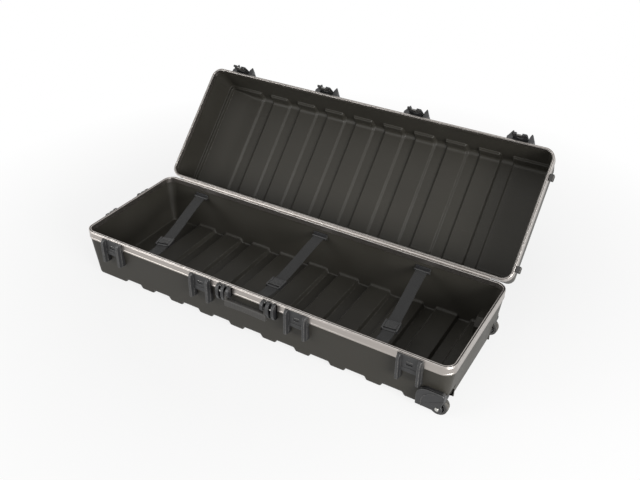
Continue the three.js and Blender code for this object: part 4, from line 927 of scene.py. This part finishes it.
def bracket(form, side):
    """A handle bracket: an L-shaped plate, a fill below the rim's edge and three lobes, of
    which the one beside the grip is short so that the grip's end swings past it."""
    middle = side * BRACKET_MIDDLE
    plate = [[24, -4], [24, -60], [-5, -60], [-5, -40], [-24, -40], [-24, -4]]
    plate = rounded(np.array(plate) * [side, 1], [3, 3, 1, 3, 2, 3])
    form.slab(plate, SEAT, 5, 1.0, flat_on_front(middle))
    backing(form, middle, *np.sort([-4.6 * side, 23.6 * side]), 59.6)
    front = np.array([[0.45, 0], [0.8, 0.08], [1, 0.26], [1, 0.62], [0.72, 0.9], [0.35, 1]])
    for step, height in ((-1, 36), (0, 56), (1, 56)):
        outline = [*seat(4, 4 + height), *(front * [20, -height] - [0, 4])]
        outline = rounded(outline, [*BACK_ROUNDS, 2, 4, 6, 6, 4, 2])
        at = side * step * LOBE_STEP
        form.slab(outline, at - 5, at + 5, 1.9, on_front(middle), 4)


def handle_steel(form, side):
    """The steel of a bracket: the pin that the grip swings on, and three rivets."""
    middle = side * BRACKET_MIDDLE
    rod(form, middle, HANDLE_PIN_LENGTH, HANDLE_OUT, -HANDLE_DOWN, HANDLE_PIN_RADIUS, 0.6)
    for across, down in ((-14.5, -10.5), (14.5, -10.5), (9.5 * side, -51)):
        rivet(form, middle + across, down, 5, 2.6)


def grip(form):
    """The grip: a flattened bar whose section narrows a little towards its middle, the
    half-width by 1.2 mm times the cosine of the share of the way out, with ridges on its
    face, a rounded end and an eyed arm at each end."""
    top, start = -HANDLE_DOWN - 22, GRIP_HALF - GRIP_ROUND
    section = rectangle(-GRIP_THICK, -GRIP_TALL, GRIP_THICK, GRIP_TALL, 5.5, 6)
    end = start + np.array([0, 1.6, 2.6, 3.0])
    reach = np.concatenate([-end[::-1], np.linspace(-68, 68, 69), end])
    waist = 1.2 * np.cos(np.pi / 2 * reach / GRIP_HALF)
    ridge = 0.28 * (1 + np.cos(2 * np.pi * reach / 8)) * (np.abs(reach) < 52)
    past = (np.abs(reach) - start).clip(0) / GRIP_ROUND
    narrow = waist + ridge + 2.6 * (1 - np.sqrt(1 - past**2))
    scale = 1 - narrow[:, None, None] / np.array([GRIP_THICK, GRIP_TALL])
    at = np.broadcast_to(reach[:, None], (len(reach), len(section)))
    form.skin(np.dstack([section * scale, at]) + [HANDLE_OUT, top - GRIP_TALL, 0], on_front())
    arm = rounded([[6.2, -28], [6, top - 5], [16, top - 5], [15.8, -28]], 1)
    for side in (-1, 1):
        middle = side * (BRACKET_MIDDLE - LOBE_STEP / 2)
        form.slab(arm, middle - 3.5, middle + 3.5, 1.0, on_front())
        place = about(on_front(middle - 3.5), HANDLE_OUT, -HANDLE_DOWN)
        form.turned(sleeve(3.1, 5, 0, 7, 0.6), place, 28, True)


# Wheels, drawn at the front from the floor up
WHEEL_X, WHEEL_RADIUS, WHEEL_MID, WHEEL_HALF = 621.0, 27.0, -204.4, 12.0
SWING, NOSE, SPOKES = 30.0, 15.0, 6
HOUSING_FACE, HOUSING_BACK, WALL_FACE = -225.0, -185.8, -209.6
HOUSING_RIGHT, HOUSING_TOP, BACK_INSET = 638.8, 82.0, 18.0


def around_axle(radius, angle, x=WHEEL_X, up=WHEEL_RADIUS):
    """Points on a circle about the axle, as (x, up) rows."""
    return np.stack([x + radius * np.cos(angle), up + radius * np.sin(angle)], -1)


def arch(left, top, corner):
    """A housing's outline: straight along its foot, a round nose about the axle, a slanted
    side to the case's end and a rounded upper corner; and the same outline cut out by the
    circle that the wheel turns in."""
    right = HOUSING_RIGHT
    nose = around_axle(NOSE, np.linspace(-0.82, np.pi / 4, 8))
    upper = [[right, min(60, top - 11)], [right, top], [left, top], [left, 16]]
    upper = rounded(upper, [0.2, min(16, top - 50), corner, 3], 6)
    swing = np.linspace(np.arccos((right - WHEEL_X) / SWING), np.pi * 1.12, 24)
    return np.concatenate([nose, upper]), np.concatenate([upper[7:], around_axle(SWING, swing)[::-1]])


def wall_behind(up):
    """How much further in the base's wall lies at a height than at the tall housing's top: by
    its draft, and below the round of its lower edge by r - sqrt(r r - h h), h below the round."""
    under = (FOOT_HEIGHT + EDGE_FILLET - up).clip(0, EDGE_FILLET)
    return (HOUSING_TOP - up) * LEAN + EDGE_FILLET - np.sqrt(EDGE_FILLET**2 - under**2)


def housing(form, shift):
    """A wheel housing: a cheek each side of the wheel, joined by an arch over it. The front
    one stands proud of the wall, where its outline is the tall one and its back follows the
    wall, and behind the wall both fit the well."""
    cheek, over = arch(588.6, 63.6, 9.0)
    face, back = HOUSING_FACE + shift, HOUSING_BACK + shift
    start = face + 6.5
    if shift:
        form.slab(cheek, 0, 7, 1.2, from_front(face))
    else:
        tall_cheek, tall_over = arch(556.0, HOUSING_TOP, 30.0)
        form.slab(tall_cheek, 0, 7, 2.2, from_front(face), 4)
        block = edged(tall_over, 6.5, WALL_FACE - face, 0.3, 1)
        block[2:, :, 2] += wall_behind(block[2:, :, 1])
        form.skin(block, from_front(face))
        angle = np.linspace(0.5 * np.pi, 1.12 * np.pi, 20)
        inner, outer = (around_axle(r, angle, WHEEL_X - 8, 34) for r in (39, 42))
        raised = np.concatenate([inner, outer[::-1]])
        form.slab(raised, -0.9, 0.5, 0.5, from_front(face), 2)
        start = WALL_FACE - 0.5
    form.slab(over, 0, back - 4.5 - start, 0.3, from_front(start), 1)
    form.slab(cheek, 0, 5, 0.8, from_front(back - 5), 2)


def on_axle(y):
    """The axle's place: the turned height runs inwards from y."""
    return about(from_front(y), WHEEL_X, WHEEL_RADIUS)


def tyre(form, shift):
    """The tyre: a rounded tread with three shallow grooves, on a flat seat."""
    groove = np.array([[27, -1], [26.1, -0.7], [26.1, 0.7], [27, 1]])
    tread = np.concatenate([groove + [-0.02 * m * m, m] for m in (-5, 0, 5)])
    side = [[20, WHEEL_HALF], [23.6, WHEEL_HALF], [25.2, 11.3], [26.2, 9.6]]
    profile = [*([r, -h] for r, h in side), *tread, *side[::-1]]
    form.turned(profile, on_axle(WHEEL_MID + shift), 72, True)


def hub(form, shift):
    """The hub: a rim and a boss joined by a thin web and six tapered spokes."""
    place, half = on_axle(WHEEL_MID + shift), WHEEL_HALF
    edge = [[17.9, half - 0.6], [18.3, half], [19.7, half]]
    form.turned([*([r, -h] for r, h in edge), *edge[::-1]], place, 64, True)
    form.turned(sleeve(4.4, 9, -half, half, 0.8), place, 40, True)
    form.turned([[8.5, -2], [18.2, -2], [18.2, 2], [8.5, 2]], place, 48, True)
    spoke = rounded([[8, -2.6], [18.4, -1.8], [18.4, 1.8], [8, 2.6]], 0.3, 2)
    for k in range(SPOKES):
        turn = np.array(Matrix.Rotation(k * 2 * np.pi / SPOKES, 4, "Z"))
        form.slab(spoke, -9, 9, 0.8, place @ turn)


def axle(form, shift):
    """The axle: a shaft under a hexagon head with a washer."""
    face = HOUSING_FACE + shift
    form.turned(pin(4, 43.6, 0.4), on_axle(face - 2.4), 28)
    form.turned(pin(5.8, 1.1, 0.2), on_axle(face - 1.4), 36)
    hexagon = around_axle(4.5, np.linspace(0, 2 * np.pi, 6, endpoint=False), 0, 0)
    form.slab(rounded(hexagon, 0.4, 2), 0, 1.9, 0.5, on_axle(face - 2.9))


# Hinge, straps and bumpers
HINGE_UP, HINGE_OUT, HINGE_LENGTH, KNUCKLES, LEAF = 0.3, 3.4, 1176.0, 20, 1.4
KNUCKLE_PITCH = HINGE_LENGTH / KNUCKLES
HINGE_PIN_LENGTH, HINGE_PIN_RADIUS = HINGE_LENGTH + 4, 1.5
STRAP_HALF, STRAP_THICK, STRAP_DOWN, STRAP_SAG = 19.0, 2.2, 40.0, 16.0
STRAP_ENDS = ((-0.765, -0.622), (0.002, 0.022), (0.58, 0.645))
ANCHOR_HALF, ANCHOR_HIGH, ANCHOR_LOW, ANCHOR_PROUD = 26.0, 29.0, 51.0, 3.0
ANCHOR_FACE = HALF_WIDTH - wall_inset(ANCHOR_LOW) - BASE_WALL - ANCHOR_PROUD
LOOP_OUT = ANCHOR_FACE - 11.0
BUMPER_HALF, BUMPER_UP, BUMPER_LENGTH, BUMPER_WELL = 10.0, 14.0, 15.0, 4.2
BUMPER_PLACES = {"front": -132.5, "back": 170.5}


def hinge_leaf(form, up):
    """A hinge leaf: a thin strip and every second knuckle, rolled from the strip's edge.
    Drawn with the lid closed, in the base's frame."""
    half = HINGE_LENGTH / 2
    back = about(from_front(HALF_WIDTH + SEAT), 0, -up * HINGE_UP)
    low, high = np.sort([up * 3.75, up * 20])
    form.slab(rectangle(-half, low, half, high, 2), 0, LEAF, 0.3, back, 2)
    tube = sleeve(1.85, HINGE_OUT, 0.4, KNUCKLE_PITCH - 0.4, 0.3)
    low, high = np.sort([0.0, up * 4.2])
    for i in range(0 if up > 0 else 1, KNUCKLES, 2):
        at = i * KNUCKLE_PITCH - half
        form.turned(tube, from_end(at, HALF_WIDTH + SEAT + HINGE_OUT, -up * HINGE_UP), 20, True)
        tab = rectangle(at + 0.4, low, at + KNUCKLE_PITCH - 0.4, high, 0.2, 1)
        form.slab(tab, 0, LEAF, 0.2, back, 1)


def hinge_rivets(form, up):
    """A dome-headed rivet through a hinge leaf under every knuckle."""
    head = [[2.6, -0.3], *dome(2.6, 1.1, 0.2, 6)]
    for at in (np.arange(KNUCKLES) - (KNUCKLES - 1) / 2) * KNUCKLE_PITCH:
        place = about(from_front(HALF_WIDTH + SEAT + LEAF), at, up * (13 - HINGE_UP))
        form.turned(head, place, 16)


def strap_route(index):
    """A strap's middle line: straight in plan between its two anchors. Seen from the end it
    falls to a level run that carries the buckle, by a smooth step 3 t t - 2 t t t in height."""
    back, front = (HALF_LENGTH * share for share in STRAP_ENDS[index])
    end = LOOP_OUT - SEAT
    y = np.linspace(end, -end, 91)
    x = np.interp(y, [-end, end], [front, back])
    middle, level = -0.4 * end, 34.0
    behind, before = (end - y) / (end - middle - level), (y + end) / (middle - level + end)
    t = np.where(y > middle, behind, before).clip(0, 1)
    return np.stack([x, y, -STRAP_DOWN - STRAP_SAG * t * t * (3 - 2 * t)], -1)


def webbing(form, index):
    """A flat band along a strap's route, with rounded edges: each ring is a rectangle in the
    plane across the route's plan direction. Its pattern runs along the route and round the
    band."""
    route = strap_route(index)
    run = np.gradient(route, axis=0)[:, :2]
    run /= np.linalg.norm(run, axis=1, keepdims=True)
    section = rectangle(
        -STRAP_HALF, -STRAP_THICK / 2, STRAP_HALF, STRAP_THICK / 2, STRAP_THICK * 0.45, 3
    )
    across, up = section.T
    rings = np.repeat(route[:, None], len(section), 1)
    rings[..., 0] += across / run[:, 1:]
    rings[..., 2] += up
    along, around = (
        np.insert(np.cumsum(np.linalg.norm(np.diff(path, axis=0), axis=1)), 0, 0)
        for path in (route, np.concatenate([section, section[:1]]))
    )
    lengths = np.stack(np.meshgrid(along, around, indexing="ij"), -1)
    form.skin(rings, np.eye(4), lengths)


def buckle(form, index):
    """A cam buckle on the strap's level run: side walls, a bar above and below the webbing
    at each end, and a ribbed thumb plate between the walls."""
    route = strap_route(index)
    level = route[route[:, 2] < -STRAP_DOWN - STRAP_SAG + 1e-6]
    run = (level[-1] - level[0]) / np.linalg.norm(level[-1] - level[0])
    place = axes((-run[1], run[0], 0), run, (0, 0, 1), (level[0] + level[-1]) / 2)
    for side in (-1, 1):
        wall = [[side * 19.4, -23], [side * 25, -21], [side * 25, 21], [side * 19.4, 23]]
        form.slab(rounded(wall, 2), -3.8, 6.6, 1.2, place)
    for y in (-19.5, 19.5):
        for low in (-3.8, 1.5):
            form.slab(rectangle(-20.5, y - 3.5, 20.5, y + 3.5, 1.2), low, low + 2.3, 0.8, place)
    form.slab(rectangle(-18.5, -14, 18.5, 13, 2.5), 3.4, 6.4, 1.2, place)
    for y in np.arange(-10, 11, 4.0):
        form.slab(rectangle(-15, y - 0.9, 15, y + 0.9, 0.8), 5.9, 7.2, 0.6, place)


def anchor(form, index, side):
    """A strap's anchor: a plate on the inner wall with rounded corners and a raised loop
    that grips the webbing's end."""
    high, low, half = -ANCHOR_HIGH, -ANCHOR_LOW, ANCHOR_HALF
    wall = [[HALF_WIDTH - wall_inset(-z) - BASE_WALL - SEAT, z] for z in (low, high)]
    place = axes((0, side, 0), (0, 0, 1), (1, 0, 0))
    place[0, 3] = HALF_LENGTH * STRAP_ENDS[index][0 if side > 0 else 1]
    plate = rounded([*wall, [ANCHOR_FACE, high], [ANCHOR_FACE, low]], 0.6)
    form.slab(plate, -half, half, 1.6, place)
    top, foot, root = 4.1 - STRAP_DOWN, -4.1 - STRAP_DOWN, ANCHOR_FACE + 0.5
    loop = [[root, top], [LOOP_OUT, top], [LOOP_OUT, foot], [root, foot]]
    form.slab(rounded(loop, [0.3, 2.2, 2.2, 0.3]), -half, half, 1.6, place)


def bumper(form, y):
    """A square bumper with softened edges and a sunken screw well."""
    half = BUMPER_HALF
    block = rectangle(-half, -half, half, half, 2.5, 5)
    turn = np.arctan2(block[:, 1], block[:, 0])
    well = BUMPER_WELL * np.stack([np.cos(turn), np.sin(turn)], -1)
    form.framed(block, well, 0, BUMPER_LENGTH, 2.4, from_end(HALF_LENGTH + SEAT, y, BUMPER_UP))


def bumper_screw(form, y):
    """The pan head of the screw at the bottom of a bumper's well, on its washer."""
    head = [[4.6, 0], [4.6, 7], [4.2, 7.4], [2.9, 7.4], [2.8, 8.8], [2.2, 9.5], [0.05, 9.8]]
    form.turned(head, from_end(HALF_LENGTH + SEAT, y, BUMPER_UP), 24)


# Sizes and colours that a user would change
def colour(name, description, text):
    """A colour setting, from sRGB hex."""
    limits = {"subtype": "COLOR", "size": 3, "min": 0, "max": 1, "default": linear(text)[:3]}
    return FloatVectorProperty(name=name, description=description, **limits)


def amount(name, description, default, **limits):
    """A number setting, with its limits and its subtype or unit."""
    return FloatProperty(name=name, description=description, default=default, **limits)


class CaseLook(bpy.types.PropertyGroup):
    """Colours and surface sizes of the case's materials."""

    shell_colour: colour("Shell colour", "Main shade of the formed shells", "#26241f")
    shell_pale: colour("Shell pale shade", "Lighter shade that drifts across the shells", "#302e29")
    shell_roughness: amount(
        "Shell roughness", "Roughness of the formed shells", 0.5, min=0.2, max=1, subtype="FACTOR"
    )
    grain_size: amount(
        "Grain size", "Width of a haircell pebble, in millimetres", 2.6, min=0.5, max=6
    )
    grain_strength: amount(
        "Grain strength", "How strongly the grain shows", 0.35, min=0, max=1, subtype="FACTOR"
    )
    metal_colour: colour("Rim colour", "Shade of the anodised rims", "#aca6a1")
    metal_roughness: amount(
        "Rim roughness", "Roughness of the anodised rims", 0.3, min=0.1, max=0.8, subtype="FACTOR"
    )
    hardware_colour: colour("Hardware colour", "Shade of latches, brackets, housings", "#1d1d1e")
    weave_pitch: amount(
        "Weave pitch", "Distance between the webbing's rows, in millimetres", 3.2, min=0.8, max=6
    )


class StageLook(bpy.types.PropertyGroup):
    """The floor, the lamps and the camera."""

    floor_colour: colour("Floor colour", "Shade of the studio floor", "#dcdcdb")
    sky_strength: amount(
        "Surrounding light", "Strength of the light from all round", 0.09, min=0, max=2
    )
    front_power: amount(
        "Front light", "Power of the large lamp at the front left", 50.0, min=0, unit="POWER"
    )
    side_power: amount(
        "Side light", "Power of the lamp at the wheel end", 150.0, min=0, unit="POWER"
    )
    top_power: amount("Top light", "Power of the lamp above", 10.0, min=0, unit="POWER")
    focal_length: amount("Focal length", "The camera's focal length", 43.69, min=10, unit="CAMERA")


class CASE_OT_shells(bpy.types.Operator):
    """Builds the base and lid shells with their ribs and wheel wells"""

    bl_idname = "case.shells"
    bl_label = "Build Shells"

    def execute(self, context):
        for body, place, sizes in (
            ("base", BASE_TO_ROW, (BASE_KIND, 1.0, True)),
            ("lid", LID_TO_ROW, (LID_KIND, -1.0)),
        ):
            name, look = f"{body}_shell", haircell_polyethylene
            piece(f"{name}_skin", shell, sizes, look, body, place, name, smooth=28.0)
        return {"FINISHED"}


class CASE_OT_rims(bpy.types.Operator):
    """Builds the drawn rims of the base and the lid, and their black seals, which are also painted shade
    in the groove and beside the tongue
    """

    bl_idname = "case.rims"
    bl_label = "Build Rims"

    def execute(self, context):
        groove = [[-1.5, 0], [-1.5, 2], [1.5, 2], [1.5, 0]]
        tongue = [[-0.9, 0], [-0.9, -1.4], [0.9, -1.4], [0.9, 0]]
        # Black strips at the bottom of the base's groove and beside the lid's tongue: a seal, and painted
        # shade in those gaps.
        base_strips = [[CROWN_LINE - 1.4, CROWN_LINE + 1.4, 1.0, 2.1]]
        lid_strips = [
            [CROWN_LINE + 1.0, CROWN_LINE + 2.5, -0.25, 0.2],
            [1.3, CROWN_LINE - 1.1, -0.25, 0.2],
        ]
        sides = {"base": (BASE_TO_ROW, 1.0), "lid": (LID_TO_ROW, -1.0)}
        for body, wall, crown in (("base", BASE_WALL, groove), ("lid", LID_WALL, tongue)):
            place, flip = sides[body]
            name, sizes, look = f"{body}_valance", (wall, crown, flip), satin_anodised_aluminium
            piece(f"{name}_channel", rim, sizes, look, body, place, name, smooth=50.0)
        for body, strips in (("base", base_strips), ("lid", lid_strips)):
            place, flip = sides[body]
            piece(f"{body}_seal", seal_and_painted_shade, (strips, flip), matt_rubber, body, place, smooth=50.0)
        return {"FINISHED"}


class CASE_OT_latches(bpy.types.Operator):
    """Builds the four latches and the keepers that they close on"""

    bl_idname = "case.latches"
    bl_label = "Build Latches"

    def execute(self, context):
        nylon, steel, zinc = glass_filled_nylon, blackened_spring_steel, zinc_plated_steel
        for i, x in enumerate(LATCH_X, 1):
            pin_sizes = (x, LATCH_PIN_LENGTH, LEVER_OUT, LEVER_UP, LATCH_PIN_RADIUS, 0.5)
            for name, draw, sizes, look, body in (
                ("latch_keeper", keeper, (x,), nylon, "base"),
                ("latch_base", latch_plate, (x,), nylon, "lid"),
                ("latch_lever", lever, (x,), nylon, f"lever_{i}"),
                ("latch_claw", claw, (x,), steel, f"claw_{i}"),
                ("latch_pin", rod, pin_sizes, zinc, "lid"),
            ):
                place = BASE_TO_ROW if body == "base" else LID_TO_ROW
                piece(f"{name}_form_{i}", draw, sizes, look, body, place, f"{name}_{i}")
            piece(f"latch_rivets_{i}", latch_rivets, (x,), zinc, "lid", LID_TO_ROW)
            piece(f"keeper_strike_{i}", strike, (x,), steel, "base")
        return {"FINISHED"}


class CASE_OT_handles(bpy.types.Operator):
    """Builds the swing handles on the front and at the left end"""

    bl_idname = "case.handles"
    bl_label = "Build Handles"

    def execute(self, context):
        for where, place in (("front", BASE_TO_ROW), ("end", END_TO_ROW)):
            for hand, side in (("left", -1), ("right", 1)):
                name, steel = f"{where}_handle_bracket_{hand}", f"{where}_handle_steel_{hand}"
                piece(f"{name}_form", bracket, (side,), glass_filled_nylon, "base", place, name)
                piece(steel, handle_steel, (side,), zinc_plated_steel, "base", place)
            name, body = f"{where}_handle_grip", f"{where}_grip"
            piece(f"{name}_form", grip, (), thermoplastic_elastomer, body, place, name)
        return {"FINISHED"}


class CASE_OT_wheels(bpy.types.Operator):
    """Builds the wheels and their housings at the bottom corners"""

    bl_idname = "case.wheels"
    bl_label = "Build Wheels"

    def execute(self, context):
        for where, shift, side in (("front", 0.0, 1), ("back", BACK_INSET, -1)):
            place = CASE_TO_ROW @ np.diag([1.0, side, 1.0, 1.0])
            for name, draw, look, body, slot in (
                ("wheel_housing", housing, glass_filled_nylon, "base", ""),
                ("tyre", tyre, matt_rubber, f"wheel_{where}", "tyre"),
                ("wheel_hub", hub, glass_filled_nylon, f"wheel_{where}", ""),
                ("wheel_axle", axle, zinc_plated_steel, "base", ""),
            ):
                node_name = f"{name}_{where}"
                piece(f"{name}_form_{where}", draw, (shift,), look, body, place, node_name)
        return {"FINISHED"}


class CASE_OT_hinge(bpy.types.Operator):
    """Builds the long hinge and the lid's bumpers"""

    bl_idname = "case.hinge"
    bl_label = "Build Hinge and Bumpers"

    def execute(self, context):
        metal, zinc = satin_anodised_aluminium, zinc_plated_steel
        for body, up, place in (("base", -1, BASE_TO_ROW), ("lid", 1, LID_TO_ROW)):
            name, node_name = f"hinge_leaf_form_{body}", f"hinge_leaf_{body}"
            piece(name, hinge_leaf, (up,), metal, body, place, node_name)
            piece(f"hinge_rivets_{body}", hinge_rivets, (up,), zinc, body, place)
        behind = -SEAT - HINGE_OUT - 2 * HALF_WIDTH
        pin_sizes = (0, HINGE_PIN_LENGTH, behind, HINGE_UP, HINGE_PIN_RADIUS, 0.3)
        piece("hinge_pin_form", rod, pin_sizes, zinc, "base", BASE_TO_ROW, "hinge_pin")
        for where, y in BUMPER_PLACES.items():
            name, node_name = f"lid_bumper_form_{where}", f"lid_bumper_{where}"
            piece(name, bumper, (y,), matt_rubber, "lid", LID_TO_ROW, node_name)
            piece(f"lid_bumper_screw_{where}", bumper_screw, (y,), zinc, "lid", LID_TO_ROW)
        return {"FINISHED"}


class CASE_OT_straps(bpy.types.Operator):
    """Builds the three straps with their buckles and anchors"""

    bl_idname = "case.straps"
    bl_label = "Build Straps"

    def execute(self, context):
        for i in range(3):
            rows = [
                (f"strap_webbing_{i + 1}", webbing, (i,), woven_polypropylene, f"strap_{i + 1}"),
                (f"strap_buckle_form_{i + 1}", buckle, (i,), glass_filled_nylon, f"strap_buckle_{i + 1}"),
            ]
            for where, side in (("back", 1), ("front", -1)):
                name = f"strap_anchor_{where}_{i + 1}"
                rows.append((f"{name}_form", anchor, (i, side), glass_filled_nylon, name))
            for name, draw, sizes, look, node_name in rows:
                piece(name, draw, sizes, look, "base", replaces=node_name)
        return {"FINISHED"}


def lamp(name, power, size, position, target):
    """A soft square lamp that faces a point."""
    data = bpy.data.lights.new(name, "AREA")
    data.energy, data.shape, data.size, data.size_y = power, "RECTANGLE", *size
    made = bpy.data.objects.new(name, data)
    position, target = (np.array(v, float) for v in (position, target))
    away = (position - target) / np.linalg.norm(position - target)
    side = np.cross([0, 0, 1], away)
    side /= np.linalg.norm(side)
    made.matrix_world = Matrix(axes(side, np.cross(away, side), away, position).tolist())
    bpy.context.scene.collection.objects.link(made)


def shown(tree):
    """1 where the background is looked at, straight or in a reflection or through glass."""
    seen = node(tree, "LightPath").outputs
    rays = {0: seen["Is Camera Ray"], 1: seen["Is Glossy Ray"]}
    either = node(tree, "Math", rays, operation="MAXIMUM")
    return node(tree, "Math", {0: either, 1: seen["Is Transmission Ray"]}, operation="MAXIMUM")


class CASE_OT_stage(bpy.types.Operator):
    """Sets up the floor, the lamps, the surroundings and the camera"""

    bl_idname = "case.stage"
    bl_label = "Set Stage"

    def floor(self, look):
        """A wide floor of pale paper: lit near the case, where its shadow falls, and going
        over to the plain white of the background from 0.7 to 1.6 m away."""
        mesh = bpy.data.meshes.new("studio_floor")
        corners = [(-30, -30, 0), (30, -30, 0), (30, 30, 0), (-30, 30, 0)]
        mesh.from_pydata(corners, [], [[0, 1, 2, 3]])
        made = bpy.data.objects.new("studio_floor", mesh)
        bpy.context.scene.collection.objects.link(made)
        paper = bpy.data.materials.new("seamless_paper")
        paper.use_nodes = True
        tree = paper.node_tree
        tree.nodes.clear()
        lit = node(tree, "BsdfDiffuse", {"Color": (*look.floor_colour, 1)})
        white = node(tree, "Emission", {"Color": (1, 1, 1, 1), "Strength": 1.0})
        place = node(tree, "TexCoord").outputs["Object"]
        away = node(tree, "VectorMath", {0: place}, operation="LENGTH")
        near = {"Value": away, "From Min": 0.7, "From Max": 1.6, "To Min": 0.8}
        near = node(tree, "MapRange", near)
        share = node(tree, "Math", {0: shown(tree), 1: near}, operation="MULTIPLY")
        both = node(tree, "MixShader", {0: share, 1: lit, 2: white})
        node(tree, "OutputMaterial", {"Surface": both})
        mesh.materials.append(paper)

    def surroundings(self, look):
        """Even light from all round, and a white backdrop wherever that is looked at."""
        world = bpy.data.worlds.new("studio")
        world.use_nodes = True
        tree = world.node_tree
        tree.nodes.clear()
        even, backdrop = (
            node(tree, "Background", {"Color": (1, 1, 1, 1), "Strength": strength})
            for strength in (look.sky_strength, 1.0)
        )
        both = node(tree, "MixShader", {0: shown(tree), 1: even, 2: backdrop})
        node(tree, "OutputWorld", {"Surface": both})
        bpy.context.scene.world = world

    def camera(self, look):
        """The camera of the photograph: its turn, tilt and roll in degrees, and its place in
        shares of the case's length from the middle of the base's rim."""
        turn, tilt, roll = np.radians([29.92, 33.377, 0.953])
        view = [-np.sin(turn) * np.cos(tilt), np.cos(turn) * np.cos(tilt), -np.sin(tilt)]
        right = np.array([np.cos(turn), np.sin(turn), 0])
        up = np.cross(right, view)
        across = right * np.cos(roll) + up * np.sin(roll)
        upright = up * np.cos(roll) - right * np.sin(roll)
        data = bpy.data.cameras.new("camera")
        data.lens, data.sensor_width = look.focal_length, 36.0
        data.clip_start, data.clip_end = 0.05, 100.0
        made = bpy.data.objects.new("camera", data)
        share = np.array([0.8398, -1.2999, 1.0653])
        position = share * 2 * HALF_LENGTH * MM + [MIDDLE_X, MIDDLE_Y, RIM_Z]
        made.matrix_world = Matrix(axes(across, upright, -np.array(view), position).tolist())
        bpy.context.scene.collection.objects.link(made)
        bpy.context.scene.camera = made

    def execute(self, context):
        look = context.scene.case_stage
        self.floor(look)
        self.surroundings(look)
        context.scene.view_settings.view_transform = "Standard"
        lamp("front_lamp", look.front_power, (2.2, 1.4), (-1.9, -2.2, 1.0), (-0.1, 0, 0.25))
        lamp("side_lamp", look.side_power, (1.6, 1.4), (2.8, -1.5, 0.9), (0.4, 0, 0.15))
        lamp("top_lamp", look.top_power, (2.6, 1.6), (0, -0.4, 2.6), (0, 0, 0.2))
        self.camera(look)
        return {"FINISHED"}


STEPS = (
    CASE_OT_shells,
    CASE_OT_rims,
    CASE_OT_latches,
    CASE_OT_handles,
    CASE_OT_wheels,
    CASE_OT_hinge,
    CASE_OT_straps,
    CASE_OT_stage,
)


class CASE_PT_panel(bpy.types.Panel):
    """Lists the case's settings and building steps"""

    bl_idname = "CASE_PT_panel"
    bl_label = "Utility Case"
    bl_space_type = "VIEW_3D"
    bl_region_type = "UI"
    bl_category = "Utility Case"

    def draw(self, context):
        for group in (context.scene.case_look, context.scene.case_stage):
            box = self.layout.box()
            for name in group.__annotations__:
                box.prop(group, name)
        for step in STEPS:
            self.layout.operator(step.bl_idname)


CLASSES = (CaseLook, StageLook, *STEPS, CASE_PT_panel)


def register():
    for each in CLASSES:
        bpy.utils.register_class(each)
    bpy.types.Scene.case_look = PointerProperty(type=CaseLook)
    bpy.types.Scene.case_stage = PointerProperty(type=StageLook)


def unregister():
    del bpy.types.Scene.case_stage
    del bpy.types.Scene.case_look
    for each in reversed(CLASSES):
        bpy.utils.unregister_class(each)


def main():
    """Builds everything in order."""
    register()
    for step in STEPS:
        group, name = step.bl_idname.split(".")
        getattr(getattr(bpy.ops, group), name)()


if __name__ == "__main__":
    main()
